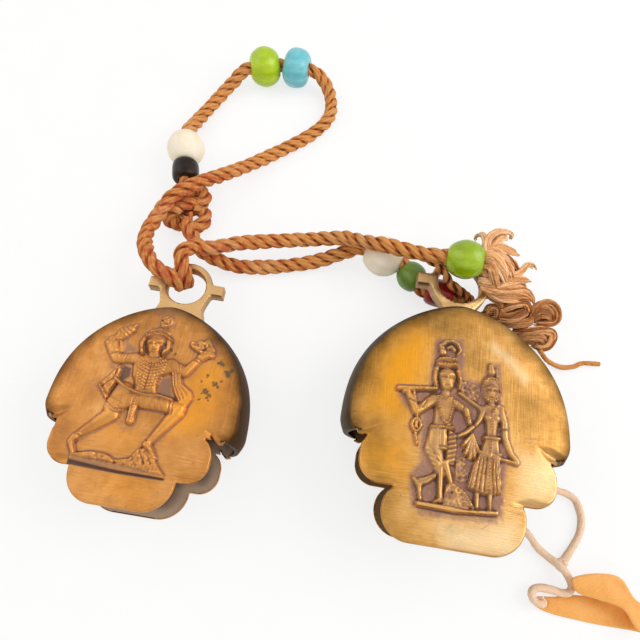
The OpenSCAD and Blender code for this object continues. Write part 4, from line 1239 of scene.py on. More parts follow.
def domePoint(t, z, shape, inset=0.0):
    # t runs from 0 at the right corner over the top to 1 at the left corner
    f = shareDrawnIn(z, shape)
    halfWidth = shape["midHalfWidth"] - shape["sideBulge"] * f - inset
    height = shape["topY"] - shape["widestY"] - shape["topBulge"] * f - inset
    corner = shape["cornerHalfWidth"] - shape["cornerBulge"] * f - inset
    low = 0.04
    side = np.where(t < 0.5, 1.0, -1.0)
    u = np.where(t < 0.5, t, 1 - t)
    angle = np.clip((u - low) / (0.5 - low), 0, 1) * np.pi / 2
    x = halfWidth * np.cos(angle) ** shape["widthPower"]
    y = shape["widestY"] + height * np.sin(angle) ** shape["heightPower"]
    share = np.clip(u / low, 0, 1)
    straightX = corner + (halfWidth - corner) * np.sin(share * np.pi / 2)
    straightY = shape["cornerY"] + (shape["widestY"] - shape["cornerY"]) * share
    below = u < low
    return np.stack([side * np.where(below, straightX, x), np.where(below, straightY, y)], axis=-1)


def roundBox(p, middle, half, radius):
    return boxDistance(p, middle, (half[0] - radius, half[1] - radius)) - radius


def plateField(shape, mouth, z):
    # outline of a plate: the dome, the petals at its foot, the lobe and the cuts between them
    dome = domePoint(np.linspace(0, 1, 181), z, shape)

    def field(p):
        q = np.stack([np.abs(p[..., 0]), p[..., 1]], axis=-1)
        petal = roundBox(q, *mouth["petal"])
        toRight = np.clip(0.5 + p[..., 0] / 12, 0, 1)
        lobe = roundBox(q, *mouth["lobe"]) * (1 - toRight)
        lobe = lobe + roundBox(q, *mouth["roundedLobe"]) * toRight
        corner = patchDistance(q, shape["cornerTooth"])
        d = join(np.minimum(patchDistance(p, dome), corner), join(petal, lobe, 0.4), 0.3)
        side = mouth["cutSide"]
        web = patchDistance(p * [-side, 1] if side else q, shape["web"])
        d = join(d, web, 0.5)
        return np.maximum(d, -patchDistance(p * [side, 1], shape["cut"])) if side else d

    return field


def followDome(edge, z, shape):
    # where each edge point of the dome stands along it, found on a finely cut copy
    fine = np.linspace(0, 1, 6001)
    fineLine = domePoint(fine, z, shape)
    t = np.maximum.accumulate(fine[nearestOf(edge, fineLine)[0]])
    t[0], t[-1] = 0.0, 1.0
    return t, fineLine[::6]


def pillow(fromDome, shape):
    # how far a plate falls off towards the dome's edge
    return shape["pillow"] * (1 - np.clip(fromDome / shape["pillowReach"], 0, 1)) ** 2


def filedNotches(flat, shape):
    # how deep the file went where it opened the notches between dome, petals and lobe
    depth = np.zeros(len(flat))
    for tip, out in shape["notches"]:
        way = unit(np.array(out, dtype=float))
        q = np.stack([np.abs(flat[:, 0]), flat[:, 1]], axis=-1) - tip
        along = q @ way + shape["fileStart"]
        beside = np.abs(q @ np.array([-way[1], way[0]]))
        width = np.clip(0.7 + along * 0.34, 0.1, 2.4)
        filed = np.clip(1 - beside / width, 0, 1) * np.clip(along / shape["fileRun"], 0, 1)
        depth += shape["fileDepth"] * filed * filed * (3 - 2 * filed)
    return depth


def makeBell(name, body, material, shellNode, swing, mouth, carving, replaced):
    shape = bellShape
    low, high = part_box(shellNode)
    size = (high[2] - low[2]) / mm / shape["depth"]
    ringAt = np.array(joints[swing]["pos_m"]) / mm
    place = np.array([ringAt[0], ringAt[1] - shape["ringY"] * size, 0.0])
    depth, wall, widestY = shape["depth"], shape["wall"], shape["widestY"]
    frontZ = depth - shape["pillow"]
    innerTop = depth - wall + 0.05
    flat, faces, loops = lattice(plateField(shape, mouth, frontZ), (-36, -31), (36, 47), shape["step"])

    # the outline, parted at the dome's two corners into the dome's edge and the mouth's
    (cornerX, cornerY), (_, topY) = domePoint(np.array([0.0, 0.5]), frontZ, shape)
    loop = np.array(loops[0])
    loop = np.roll(loop, -np.argmin(np.linalg.norm(flat[loop] - [cornerX, cornerY], axis=1)))
    atL = np.argmin(np.linalg.norm(flat[loop] - [-cornerX, cornerY], axis=1))
    flat[loop[0]], flat[loop[atL]] = (cornerX, cornerY), (-cornerX, cornerY)
    domeLoop, mouthLoop = loop[:atL + 1], np.append(loop[atL:], loop[0])
    t, domeLine = followDome(flat[domeLoop], frontZ, shape)
    flat[domeLoop] = domePoint(t, frontZ, shape)

    mouthLine = flat[mouthLoop]
    halves = (mouthLine[1:] + mouthLine[:-1]) / 2
    fromDome = nearestOf(flat, domeLine)[1]
    fromMouth = nearestOf(flat, np.vstack([mouthLine, halves]))[1]
    # patinaAndShadow: patina in the hollows together with the painted shadows given as stains
    lift, patinaAndShadow, crest, pits, warm = readCarving(carving, flat)
    z = depth - pillow(fromDome, shape) - roundedDrop(fromMouth, shape["edgeRound"])
    points = [np.column_stack([flat, z - filedNotches(flat, shape) + lift])]
    allFaces = list(faces)

    def addRow(row, z):
        points.append(np.column_stack([row, z + np.zeros(len(row))]))
        end = sum(len(p) for p in points)
        return np.arange(end - len(row), end)

    def strips(rows):
        for a, b in zip(rows[:-1], rows[1:]):
            allFaces.extend((int(a[i]), int(b[i]), int(b[i + 1]), int(a[i + 1])) for i in range(len(a) - 1))

    # the rim, row by row down to the back plate, outside and inside
    rows = 22
    down = (1 + np.cos(np.linspace(0, np.pi, rows + 1))) / 2
    rimZ = frontZ * down
    outer = [domeLoop] + [addRow(domePoint(t, z, shape), z) for z in rimZ[1:]]
    inner = [addRow(domePoint(t, z, shape, wall), z) for z in wall + (innerTop - wall) * down]
    strips(outer)
    strips(inner[::-1])
    for end in (0, -1):
        for j in range(rows):
            quad = (int(outer[j][end]), int(inner[j][end]), int(inner[j + 1][end]), int(outer[j + 1][end]))
            allFaces.append(quad if end == 0 else quad[::-1])

    # edges of the two plates along the mouth
    fixed = shape["cornerFrom"]
    drawnIn = (domePoint(np.array([0.0]), 0.0, shape)[0][0] - fixed) / (cornerX - fixed)

    def mouthRow(inset, z, back=False):
        p = flat[mouthLoop].copy()
        if back:
            corner = (p[:, 1] > shape["cornerY"] - 0.4) & (np.abs(p[:, 0]) > fixed)
            p[corner, 0] = np.sign(p[corner, 0]) * (fixed + (np.abs(p[corner, 0]) - fixed) * drawnIn)
        forward = unit(np.gradient(p, axis=0))
        return addRow(p + inset * np.column_stack([-forward[:, 1], forward[:, 0]]), z)

    frontEdge = [mouthLoop, mouthRow(0, innerTop + 0.4), mouthRow(0.4, innerTop)]
    backEdge = [mouthRow(0.4, wall, True), mouthRow(0, wall - 0.4, True), mouthRow(0, 0.5, True),
                mouthRow(0.5, 0, True)]
    strips(frontEdge)
    strips(backEdge)

    # the plates' other faces: the same net, drawn in to the outline that the dome has at that level
    within = np.setdiff1d(np.arange(len(flat)), np.concatenate([domeLoop, mouthLoop]))

    def plateFace(domeRow, mouthEdge, level, inset, facesUp, rise=0.0):
        (sideX, _), (_, top) = domePoint(np.array([0.0, 0.5]), level, shape, inset)
        p = flat[within].copy()
        p[:, 0] *= 1 + ((sideX - 0.3) / cornerX - 1) * np.clip((p[:, 1] + 6) / 9, 0, 1)
        above = p[:, 1] > widestY
        p[above, 1] = widestY + (p[above, 1] - widestY) * (top - widestY) / (topY - widestY)
        names = np.empty(len(flat), dtype=int)
        names[within] = addRow(p, level + rise)
        names[mouthLoop] = mouthEdge
        names[domeLoop] = domeRow
        turned = [tuple(int(names[v]) for v in f) for f in faces]
        allFaces.extend(turned if facesUp else [f[::-1] for f in turned])
        return names[within]

    underFront = plateFace(inner[0], frontEdge[-1], innerTop, wall, False)
    overBack = plateFace(inner[-1], backEdge[0], wall, wall, True)
    behind = plateFace(outer[-1], backEdge[-1], 0.0, 0, False, 0.6 * pillow(fromDome[within], shape))

    points = np.vstack(points)
    points[:, :2] += np.array(mouth["shift"]) * np.clip(1 - points[:, 2:] / frontZ, 0, 1)

    def onFront(values):
        return np.append(values, np.zeros(len(points) - len(flat)))

    # painted shade: the inside darkens away from the mouth and under the front plate, where light hardly
    # reaches; both plates are tarnished at the dome, and the rim darkens towards the back as a painted dark
    # reflection
    tarnishAndShade = np.clip(1 - fromDome / 5.5, 0, 1) ** 1.5
    shadeInside = np.clip(np.minimum(fromDome, fromMouth)[within] / 6.5 - 0.25, 0, 1)
    grime, rim, inside = onFront(patinaAndShadow), onFront(0.6 * tarnishAndShade), np.zeros(len(points))
    # the rim darkens towards the back plate: tarnished, with a painted dark reflection
    for row, z in zip(outer[1:], rimZ[1:]):
        rim[row] = np.clip(0.6 + (frontZ - z) / 9, 0, 1)
    for row in inner:
        rim[row] = 0.7
    for row in inner + [frontEdge[-1], backEdge[0], underFront, overBack]:
        inside[row] = 1
    # painted shade: the underside of the front plate is dark, and the back plate gets darker away from its
    # edges
    grime[underFront], grime[overBack] = 1.0, 0.45 * shadeInside
    rim[underFront], rim[overBack], rim[behind] = 0.8, shadeInside, 0.7 * tarnishAndShade[within]
    layers = {"grime": grime, "rim": rim, "crest": onFront(crest), "pits": onFront(pits),
              "warm": onFront(warm), "inside": inside, "local": points}
    piece = makeObject(name, points * size + place, allFaces, body, material, layers, sharp=38)
    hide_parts(*replaced)


def makeRing(name, body, material, node, swing, ring, paler):
    # ring with a lug on each side and a flared neck, filed flat front and back
    low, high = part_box(node)
    ringAt = np.array(joints[swing]["pos_m"]) / mm
    size = (high[2] - low[2]) / mm / ring["thick"]
    neckX, neckY = ring["neck"]
    flare = [(-ring["foot"], -14), (-5, -12), (0, -11.4), (5, -12), (ring["foot"], -14),
             (neckX, neckY), (ring["outer"] - 1, -3), (1 - ring["outer"], -3), (-neckX, neckY)]

    def field(p):
        disc = join(fromPoint(p, (0, 0), ring["outer"]), patchDistance(p, flare), 1.2)
        lugs = boxDistance(p, (0, 0), (ring["lugReach"], ring["lugHalf"]))
        return np.maximum(join(disc, lugs, 1.1), -fromPoint(p, (0, 0), ring["hole"]))

    flat, faces, loops = lattice(field, (-15.4, -14.4), (15.4, 10.6), ring["step"])
    inside = -field(flat)
    half = ring["thick"] / 2 - roundedDrop(np.maximum(inside, 0), ring["round"])
    wave = 0.12 * np.sin(flat[:, 0] * 0.6 + 1) + 0.1 * np.sin(flat[:, 1] * 0.8)
    top = np.column_stack([flat, half + wave - 0.12])
    bottom = np.column_stack([flat, -half])
    count = len(flat)
    points = np.vstack([top, bottom])
    grime = np.clip(1 - np.concatenate([inside, inside]) / 0.5, 0, 1) * 0.35
    grime[count:] = 0.6
    blank = np.zeros(2 * count)
    layers = {"grime": grime, "rim": blank, "crest": blank, "pits": blank, "warm": blank - paler,
              "inside": blank, "local": points}
    piece = makeObject(name, points * size + ringAt, slabFaces(faces, loops, count), body,
                       material, layers, sharp=38)
    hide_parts(node)


hangerRing = {"thick": 5, "outer": 10.2, "hole": 7.6, "lugReach": 14.8, "lugHalf": 2.2, "foot": 10.2,
              "neck": (8.4, -8.6), "round": 0.6, "step": 0.42}
# the right one stands on a lower foot
lowRing = {**hangerRing, "foot": 6.5, "neck": (5.4, -9.9)}
makeBell("leftBell", "left_bell", leftBrass, "left_bell_shell", "left_bell_swing",
         leftMouth, carve(striderParts, 0.12), ["left_bell_shell", "left_bell_relief"])
makeBell("rightBell", "right_bell", rightBrass, "right_bell_shell", "right_bell_swing",
         rightMouth, carve(coupleParts, 0.11), ["right_bell_shell", "right_bell_relief"])
makeRing("leftRing", "left_bell", leftBrass, "left_hanger_ring", "left_bell_swing",
         hangerRing, 0.75)
makeRing("rightRing", "right_bell", rightBrass, "right_hanger_ring", "right_bell_swing",
         lowRing, 0.35)
print("bells and rings cast")


# beads: each is lathed round the axis that it turns on, with a rounded hole for the rope

# radius and length in millimetres, how square the shoulders are, and uneven as a share of the radius;
# each bead names its look, one also lists a slot, and a bead has no seam unless one is given
beadShapes = {
    "black_bead": {"look": "black", "radius": 5.2, "length": 8.6, "square": 3.6, "uneven": 0.012},
    "white_loop_bead": {"look": "ivory", "radius": 7.5, "length": 13.9, "square": 1.7, "uneven": 0.006},
    "lime_loop_bead": {"look": "lime", "radius": 8.1, "length": 12.8, "square": 1.95, "uneven": 0.028},
    "blue_bead": {"look": "blue", "radius": 8.2, "length": 11, "square": 2.7, "uneven": 0.05, "seam": 0.5},
    "white_span_bead": {"look": "ivory", "radius": 7.5, "length": 13.9, "square": 1.7, "uneven": 0.008,
                        "seam": 0.25},
    "green_bead": {"look": "green", "radius": 5.5, "length": 9.5, "square": 1.7, "uneven": 0.01},
    "red_bead": {"look": "red", "radius": 5.2, "length": 10.2, "square": 2.6, "uneven": 0.012},
    "lime_end_bead": {"look": "olive", "slot": "lime", "radius": 6.8, "length": 12.4, "square": 1.72,
                      "uneven": 0.012},
}
beadHole = 2.8


def makeBead(node, bead):
    joint = joints[node + "_spin"]
    axis = unit(np.array(joint["axis"], dtype=float))
    up = unit(np.cross(axis, [0.31, 0.2, 1.0]))
    beside = np.cross(axis, up)
    half, power = bead["length"] / 2, 2 / bead["square"]
    bend = np.linspace(0, np.pi, 34)
    x = half * np.sign(np.cos(bend)) * np.abs(np.cos(bend)) ** power
    rise = np.abs(np.sin(bend)) ** power
    outside = np.column_stack([x, beadHole + (bead["radius"] - beadHole) * rise])
    bore = np.column_stack([np.linspace(-half, half, 7)[1:-1] * 0.96, np.full(5, beadHole)])
    profile = np.vstack([outside, bore])
    turns = 64
    angle = np.linspace(0, 2 * np.pi, turns, endpoint=False)[:, None]
    phase = chance.uniform(0, 6.28, 5)
    wave = 0.5 * np.sin(2 * angle + phase[0]) + 0.35 * np.sin(3 * angle + phase[1] + 0.15 * profile[:, 0])
    wave = wave + 0.3 * np.sin(5 * angle + phase[2] - 0.3 * profile[:, 0])
    wave = wave + 0.45 * np.sin(0.5 * profile[:, 0] + phase[3])[None, :]
    share = np.clip((profile[:, 1] - beadHole) / 2.5, 0, 1)
    seam = np.exp(-((angle - 2.2) / 0.035) ** 2) * bead.get("seam", 0) * 0.5
    radius = profile[:, 1] * (1 + bead["uneven"] * wave * share) - seam * share
    along = profile[:, 0] * (1 + 0.5 * bead["uneven"] * np.sin(2 * angle + phase[4]))
    ring = np.cos(angle)[..., None] * up + np.sin(angle)[..., None] * beside
    local = along[..., None] * axis + radius[..., None] * ring
    faces = []
    count = len(profile)
    for i in range(turns):
        a, b = i * count, (i + 1) % turns * count
        for k in range(count):
            n = (k + 1) % count
            faces.append((a + k, a + n, b + n, b + k))
    points = local.reshape(-1, 3) + np.array(joint["pos_m"]) / mm
    dust = np.clip(1 - (profile[:, 1] - beadHole) / 1.1, 0, 1) + 0 * angle + seam * 0.8
    own = np.stack([along, np.cos(angle) * radius, np.sin(angle) * radius], axis=-1).reshape(-1, 3)
    name = node.removesuffix("_bead").replace("_", "") + "Bead"
    layers = {"local": own, "grime": np.clip(dust, 0, 1).ravel()}
    piece = makeObject(name, points, faces, node,
                       beadPlastic[bead["look"]], layers)
    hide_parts(node)
    return piece


beads = {node: makeBead(node, bead) for node, bead in beadShapes.items()}
print("beads turned")


# knots: turns of the same rope or string, drawn up against each other


def turnOf(centre, radius, tilt, start, sweep):
    # part of a turn round a centre; tilt is two angles, about X and then about Z, all in degrees
    a = np.radians(start + np.linspace(0, sweep, max(5, int(abs(sweep) / 24))))
    x, y = radius * np.cos(a), radius * np.sin(a)
    lean, swing = np.radians(tilt)
    p = np.column_stack([x, y * math.cos(lean), y * math.sin(lean)])
    turned = [p[:, 0] * math.cos(swing) - p[:, 1] * math.sin(swing),
              p[:, 0] * math.sin(swing) + p[:, 1] * math.cos(swing), p[:, 2]]
    return np.column_stack(turned) + centre


topKnotTurns = [
    turnOf((-70.6, 13.8, 3.8), 4.3, (0, 0), 130, -318),
    turnOf((-71.6, 21.4, 6), 3.6, (0, 0), 215, -300),
    turnOf((-76.2, 11.8, 6), 3.2, (65, 20), 60, 320),
    [(-79, 12.5, 5.6), (-76.5, 15, 7.4), (-73, 17.6, 7.6), (-70, 19, 5.6)],
    [(-78.4, 17.6, 4.6), (-75.8, 14.4, 4.4), (-73.6, 10.6, 5)],
]
endTurns = [turnOf((35.4, -5.1, 5.2), 2.5, tilt, start, 330)
            for tilt, start in (((0, 0), 40), ((80, 25), 200), ((75, 115), 0), ((40, 60), 90))]
stringTurns = [turnOf((69.8, -88.8, 2.3), 1.15, tilt, start, 330)
               for tilt, start in (((10, 0), 0), ((85, 35), 120), ((70, 130), 240))]
knotStrand = {**singleStrand, "thick": 3.0, "lay": 7, "yarns": 4, "sides": 16}
thinTurn = {**tagString, "thick": 1.8, "sides": 20}
topKnot, _, _ = makeRope(
    "topKnot", topKnotTurns, rope, "rope_set", ropeCotton, ["top_knot"])
endKnot, _, _ = makeRope(
    "endKnot", endTurns, knotStrand, "rope_set", ropeCotton, ["end_knot"])
stringKnot, _, _ = makeRope(
    "stringKnot", stringTurns, thinTurn, "right_bell", stringCotton, ["string_knot"])
print("knots tied")


# tassel: the rope's own yarns combed out past the last bead, lock by lock

# each lock: its route, half its width, half its height, how many yarns and how pale it is
tasselLocks = [
    ([(35.5, 1, 26), (35.5, 4.5, 27), (36, 10.5, 24.5), (35, 13.2, 22.5), (33.8, 12.6, 20.5),
      (35, 11.6, 19.5)], 0.8, 0.6, 7, 0.9),
    ([(36, 0.5, 25.5), (36, 4, 26.5), (37, 9.5, 25.5), (41, 14.5, 23), (45, 17.5, 20), (47.4, 18, 18),
      (47, 16.4, 16.4)], 1.2, 0.9, 14, 0.95),
    ([(36.4, 0.5, 25), (37, 4.5, 26), (40, 10, 24.5), (43.5, 14, 21.5), (46.5, 15, 18)],
     1.6, 0.9, 16, 0.85),
    ([(36.5, 0, 25.6), (38, 5.5, 26), (42, 8, 24), (47, 9.6, 20), (51.4, 11.6, 15.4)],
     1.9, 0.9, 20, 0.95),
    ([(37, 0, 24.6), (38.4, 3.5, 25.4), (42.5, 5, 22.6), (46.5, 6, 18.6), (49.8, 6.4, 13.8)],
     1.9, 0.9, 18, 0.8),
    ([(36, 2, 25), (37.5, 0.5, 25), (39.5, 0, 23), (41.5, -1.4, 20)], 1.4, 0.8, 12, 0.8),
    ([(36.8, 3, 25.6), (41, 3, 23.6), (43.8, 2.2, 21), (46.4, 1, 17)], 1.8, 0.9, 16, 0.9),
    ([(36, -1, 24), (37.5, -2.5, 23), (39, -3, 22), (41.4, -3.6, 20.4)], 1.1, 0.8, 10, 0.7),
    ([(35.4, -4.4, 21), (39, -4.5, 21.4), (44.5, -0.8, 18.6), (50, 3.2, 15.4), (54, 8, 12.8),
      (56, 10.8, 11.4), (58.6, 11.4, 10), (60, 9.6, 9)], 0.9, 0.9, 14, 1.0),
    ([(35.8, -5, 20.6), (41, -4.7, 20), (47.5, -0.6, 17), (53, 2.6, 13.6), (57.6, 4.4, 11)],
     1.5, 1.0, 18, 0.95),
    ([(36.5, -5.5, 19.6), (42, -6, 18.6), (48.5, -3.4, 16), (54, -1, 12.6), (58, -1.4, 9.4),
      (59.4, -4, 8)], 1.7, 1.0, 20, 0.9),
    ([(38, -5, 18), (43.5, -6.6, 16), (50, -5, 13), (55.5, -3.4, 10.4), (58.4, -5, 8)],
     1.6, 1.0, 18, 0.75),
    ([(42, 2, 20), (47, 1.6, 15), (52, 1.6, 11), (56.6, -1, 7)], 2.4, 1.8, 26, 0.5),
    ([(45, 9, 17), (49.6, 8.6, 13), (53.4, 5.4, 9.6), (57, 1.4, 7)], 2.0, 1.6, 20, 0.5),
    ([(41, -5, 14), (43, -5.6, 12.4), (45.6, -6.4, 11.6), (47.4, -7.4, 9.6), (45, -8, 8)],
     1.2, 0.9, 10, 0.45),
    ([(42, -9.4, 7.4), (43.4, -7.4, 8.6), (46, -7.8, 9), (46.4, -10.4, 7.8), (43.6, -10.4, 6.6)],
     1.0, 0.9, 10, 0.5),
    ([(46.6, -8, 9), (50.5, -6.4, 11.4), (55, -4.6, 10.6), (57.2, -6, 8.6), (54.4, -7.6, 7.4)],
     1.7, 1.1, 18, 0.45),
    ([(46.6, -10.4, 7), (51, -10.8, 8.8), (55, -8.4, 9), (58, -6, 7.6)], 1.7, 1.2, 18, 0.4),
    ([(49.4, -11.8, 5), (53, -12, 7), (57.5, -10.4, 7), (59.4, -7, 6.4)], 1.5, 1.2, 16, 0.5),
    ([(46, -8, 4), (51, -7.6, 5), (56, -6.6, 5), (60, -6, 4.4)], 3.0, 1.9, 30, 0.3),
    ([(58.5, -9, 5.4), (59.4, -5.6, 7.6), (62.5, -2.6, 7.8), (66, -2.2, 7.4), (68.6, -4.8, 6),
      (68, -7.6, 4.8), (64, -8.8, 4.6), (59.8, -9, 4.6)], 1.2, 1.7, 24, 0.5),
    ([(59, -7.6, 6), (61.4, -5.8, 7.8), (64.6, -5.6, 7.2), (67, -7.4, 5.4)], 2.2, 1.7, 36, 0.45),
    ([(53.5, -13, 4), (57.5, -13.8, 6), (62, -12.8, 7.2), (66, -12.4, 6.4), (67, -14, 5.4),
      (66, -16.8, 4.4), (63.6, -17.8, 3.8), (59.5, -17, 3.6)], 1.2, 1.5, 24, 0.6),
    ([(55.6, -15.2, 4), (59, -14.9, 6), (62.6, -14.6, 6.2), (65.2, -16, 4.6)], 2.2, 1.7, 36, 0.5),
    ([(56, -11.6, 4), (59, -12.6, 4.6), (61, -15, 4), (62.6, -18.4, 3.8), (62.5, -19.6, 4.6)],
     1.0, 1.0, 10, 0.5),
    ([(40.8, -9.8, 4.6), (43.2, -9, 7), (46.2, -8.8, 7.2)], 1.0, 0.9, 12, 0.5),
    ([(35.4, 1.6, 26.4), (38, 1.4, 27.4), (42, -0.8, 24.6), (45.6, -3.4, 20)], 2.0, 1.2, 26, 0.95),
    ([(35.6, 3, 26), (39.5, 3.4, 26.8), (44.5, 2.2, 22.6), (49, 0.6, 16.6)], 2.0, 1.2, 26, 0.85),
    ([(35.6, -0.6, 25), (38.2, -1.6, 26), (40.6, -3.8, 22.6), (43, -5.4, 18)], 1.7, 1.1, 20, 0.8),
    ([(36, 4.6, 25), (40, 6.8, 24), (45, 6, 19), (49.4, 4.4, 13.6)], 2.0, 1.2, 22, 0.7),
    ([(57, -6.2, 3), (61.4, -5.2, 4.4), (65.6, -5.2, 4.4), (68.4, -6.6, 3.4)], 2.3, 1.7, 30, 0.4),
    ([(53.6, -14.4, 2.6), (58.4, -14.9, 3.8), (62.6, -15.2, 4), (65.4, -16.2, 3.2)], 2.3, 1.6, 30, 0.4),
    ([(44, -9.4, 3.6), (48.6, -9.6, 4.6), (53.6, -9.8, 5), (58, -9.6, 4.6)], 2.4, 1.6, 28, 0.45),
    ([(47, -3, 10), (51.6, -3.4, 10.6), (56, -3.8, 8.4), (59, -5.4, 6.4)], 2.2, 1.4, 24, 0.6),
]
tasselYarn = {"radius": 0.46, "sides": 6, "step": 0.8, "taper": 2.5}


def makeTassel(locks, strand):
    points, faces, fibre, crown = [], [], [], []
    total = 0
    angle = np.linspace(0, 2 * np.pi, strand["sides"], endpoint=False)
    for route, wide, high, count, pale in locks:
        line, along = smoothLine(route, strand["step"])
        _, across, over = carryFrames(line)
        share = along / along[-1]
        spread = 0.55 + 0.45 * np.sin(np.pi * np.clip(share * 0.9 + 0.12, 0, 1))
        for k in range(count):
            reach, way = math.sqrt((k + 0.5) / count), 2.4 * k
            a, b = reach * math.cos(way), reach * math.sin(way)
            sway = chance.uniform(0, 6.28, 2)
            x = a * wide * spread + 0.22 * np.sin(along / 3.1 + sway[0])
            y = b * high * spread + 0.18 * np.sin(along / 2.6 + sway[1])
            centre = line + x[:, None] * across + y[:, None] * over
            keep = max(4, int(len(line) * chance.uniform(0.86, 1.0)))
            centre = centre[:keep]
            centre[:, 2] = np.maximum(centre[:, 2], 0.7)
            _, side, lift = carryFrames(centre)
            fromEnd = along[keep - 1] - along[:keep]
            r = strand["radius"] * chance.uniform(0.8, 1.15)
            r = r * np.sqrt(np.clip((fromEnd + 0.25) / strand["taper"], 0.1, 1))
            r = r * (1 + 0.12 * np.sin(along[:keep] / 0.55 + sway[0]))
            ring = np.cos(angle)[None, :, None] * side[:, None] + np.sin(angle)[None, :, None] * lift[:, None]
            points.append((centre[:, None] + r[:, None, None] * ring).reshape(-1, 3))
            faces += tubeFaces(keep, strand["sides"], total)
            total += keep * strand["sides"]
            around = angle[None, :] + along[:keep, None] / 1.1
            fibre.append(np.stack([0.5 * np.cos(around) + 3 * k, 0.5 * np.sin(around) + 5 * count,
                                   along[:keep, None] + 0 * around], axis=-1).reshape(-1, 3))
            lit = 0.16 + pale * (0.75 + 0.35 * b) + chance.uniform(-0.18, 0.12)
            crown.append(np.full(keep * strand["sides"], lit))
    points = np.vstack(points)
    crown = np.clip(np.concatenate(crown), 0, 1)
    layers = {"fibre": np.vstack(fibre), "crown": crown, "stain": np.zeros(len(points))}
    piece = makeObject("tassel", points, faces, "rope_set", tasselCotton, layers)
    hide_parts("rope_tassel")
    return piece


tassel = makeTassel(tasselLocks, tasselYarn)
print("tassel combed out")


# card tag: a blank cut flat, then bent back over itself

tagShape = {
    "thick": 0.8, "foldX": 90.7, "foldRadius": 3, "hole": (64.5, -100.2), "holeRadius": 1.3,
    "arch": 0.9, "step": 0.4, "round": 0.3,
    "lowerBack": [(60.8, -99.6), (63.4, -98.6), (68, -98), (74, -96.6), (90.7, -95.6)],
    "lowerFront": [(90.7, -103.6), (81, -103.6), (74, -103.3), (67, -102.8), (62.4, -101.6)],
    "upper": [(90.7, -95.6), (86, -90), (79, -89.8), (71.6, -92), (71.2, -94.2), (73, -96.2), (79, -97),
              (86, -98.4), (90.7, -103.6)],
}


def makeTag(tag):
    bendR = tag["foldRadius"] - tag["thick"] / 2
    foldEnd = tag["foldX"] + math.pi * bendR
    laidFlat = tag["lowerBack"] + [(foldEnd + tag["foldX"] - x, y) for x, y in tag["upper"]]
    laidFlat = [corner + (0,) for corner in laidFlat + tag["lowerFront"]]
    laidFlat = smoothLine(laidFlat + laidFlat[:1], 0.6)[0][:-1, :2]

    def field(p):
        return np.maximum(patchDistance(p, laidFlat), -fromPoint(p, tag["hole"], tag["holeRadius"]))

    flat, faces, loops = lattice(field, (60, -104.4), (119, -89), tag["step"])
    inside = np.maximum(-field(flat), 0)
    half = tag["thick"] / 2 - roundedDrop(inside, tag["round"]) * 0.9
    u, y = flat.T
    bend = np.clip((u - tag["foldX"]) / bendR, 0, np.pi)
    x = np.where(u < tag["foldX"], u, np.where(u > foldEnd, tag["foldX"] + foldEnd - u,
                                               tag["foldX"] + bendR * np.sin(bend)))
    z = tag["foldRadius"] - bendR * np.cos(bend)
    away = np.clip(np.minimum(np.abs(u - tag["foldX"]), np.abs(u - foldEnd)) / 9, 0, 1)
    upperMiddle = np.interp(u, [foldEnd, foldEnd + 10, foldEnd + 20], [-99.6, -93.6, -93.4])
    middle = np.where(u < tag["foldX"], -99.8, upperMiddle)
    arch = tag["arch"] * np.clip(1 - ((y - middle) / 4.2) ** 2, 0, 1) * away
    z = z + np.where((u < tag["foldX"]) | (u > foldEnd), arch, 0)
    normal = np.column_stack([np.sin(bend), 0 * bend, -np.cos(bend)])
    centre = np.column_stack([x, y, z])
    outer, inner = centre + half[:, None] * normal, centre - half[:, None] * normal
    lightened = np.clip(1 - inside / 0.7, 0, 1) * 0.8
    lightened = np.maximum(lightened, 0.5 * np.sin(bend))
    local = np.column_stack([flat, 0 * u])
    layers = {"local": np.vstack([local, local]), "grime": np.append(lightened, lightened)}
    piece = makeObject("cardTag", np.vstack([inner, outer]), slabFaces(faces, loops, len(flat)),
                       "card_tag", card, layers, sharp=50)
    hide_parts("card_tag")
    return piece


cardTag = makeTag(tagShape)
print("tag folded")


# floor, light and finish


def seenDirectly(tree):
    # 1 where the eye, a reflection or a view through glass meets the background
    path = tree.nodes.new("ShaderNodeLightPath").outputs
    through = sums(tree, "MAXIMUM", path["Is Glossy Ray"], path["Is Transmission Ray"])
    return sums(tree, "MAXIMUM", path["Is Camera Ray"], through)


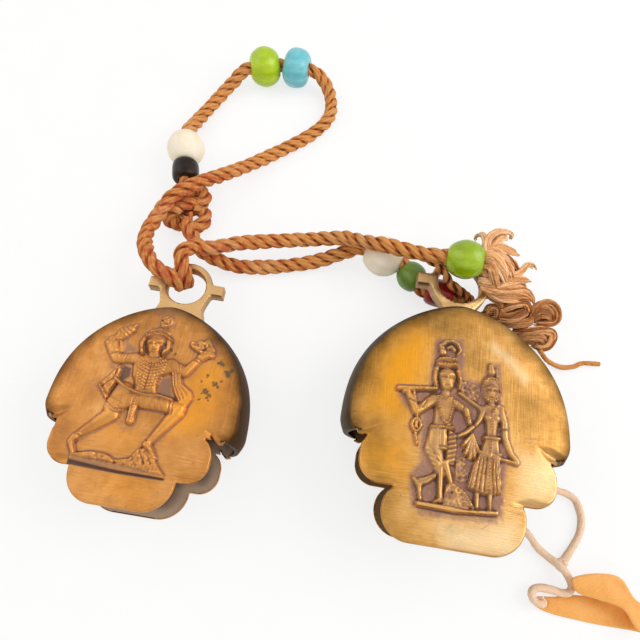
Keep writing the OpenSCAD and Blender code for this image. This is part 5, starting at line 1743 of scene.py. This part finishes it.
def paintFloor():
    # matt white board: it takes the soft shadow and is otherwise even
    material, tree = newMaterial("matt white board")
    place = addNode(tree, "TexCoord", out="Object")
    grain = stretchedNoise(tree, place, (60, 60, 60), detail=2)
    colour = ramp(tree, grain, [(0.3, "#f4f4f3"), (0.7, "#f8f8f8")])
    board = addNode(tree, "BsdfPrincipled", {"Base Color": colour, "Roughness": 0.9,
                                             "Specular IOR Level": 0.2})
    white = addNode(tree, "Emission", {"Color": linear("#ffffff"), "Strength": 1.0})
    share = times(tree, seenDirectly(tree), 0.74)
    endMaterial(tree, {0: share, 1: board, 2: white}, "MixShader")
    return material


def makeFloor():
    mesh = bpy.data.meshes.new("floor")
    mesh.from_pydata([(-3, -3, 0), (3, -3, 0), (3, 3, 0), (-3, 3, 0)], [], [(0, 1, 2, 3)])
    mesh.materials.append(paintFloor())
    floor = bpy.data.objects.new("floor", mesh)
    bpy.context.scene.collection.objects.link(floor)


# each lamp: its place and what it looks at in metres, its size in metres and its power in watts
lamps = {
    "window": {"place": (0.6, 0.12, 0.5), "target": (0, 0, 0), "size": 0.6, "power": 3.0},
    "fill": {"place": (-0.6, 0.1, 0.5), "target": (0, 0, 0), "size": 0.6, "power": 1.0},
}


def hangLamp(name, setting):
    data = bpy.data.lights.new(name, "AREA")
    data.energy, data.size = setting["power"], setting["size"]
    lamp = bpy.data.objects.new(name, data)
    lamp.location = setting["place"]
    way = Vector(setting["target"]) - Vector(setting["place"])
    lamp.rotation_euler = way.to_track_quat("-Z", "Y").to_euler()
    bpy.context.scene.collection.objects.link(lamp)


def lightWorld():
    # a white room, a little dimmer low down, so that metal shows where it turns away
    world = bpy.data.worlds.new("white room")
    bpy.context.scene.world = world
    world.use_nodes = True
    tree = world.node_tree
    tree.nodes.clear()
    way = addNode(tree, "TexCoord", out="Generated")
    slope = addNode(tree, "VectorMath", {0: way, 1: (0.15, -0.35, 0.75)}, out="Value",
                    operation="DOT_PRODUCT")
    room = ramp(tree, between(tree, slope, -0.4, 0.8), [(0.0, "#9c9a96"), (0.6, "#d2d0cd"), (1.0, "#fbfaf8")])
    colour = blend(tree, seenDirectly(tree), room, linear("#f4f4f4"))
    surface = addNode(tree, "Background", {"Color": colour, "Strength": 1.0})
    target = tree.nodes.new("ShaderNodeOutputWorld")
    tree.links.new(surface, target.inputs["Surface"])


makeFloor()
for lampName, lampSetting in lamps.items():
    hangLamp(lampName, lampSetting)
lightWorld()
bpy.context.scene.view_settings.view_transform = "Standard"
print("floor and light set")
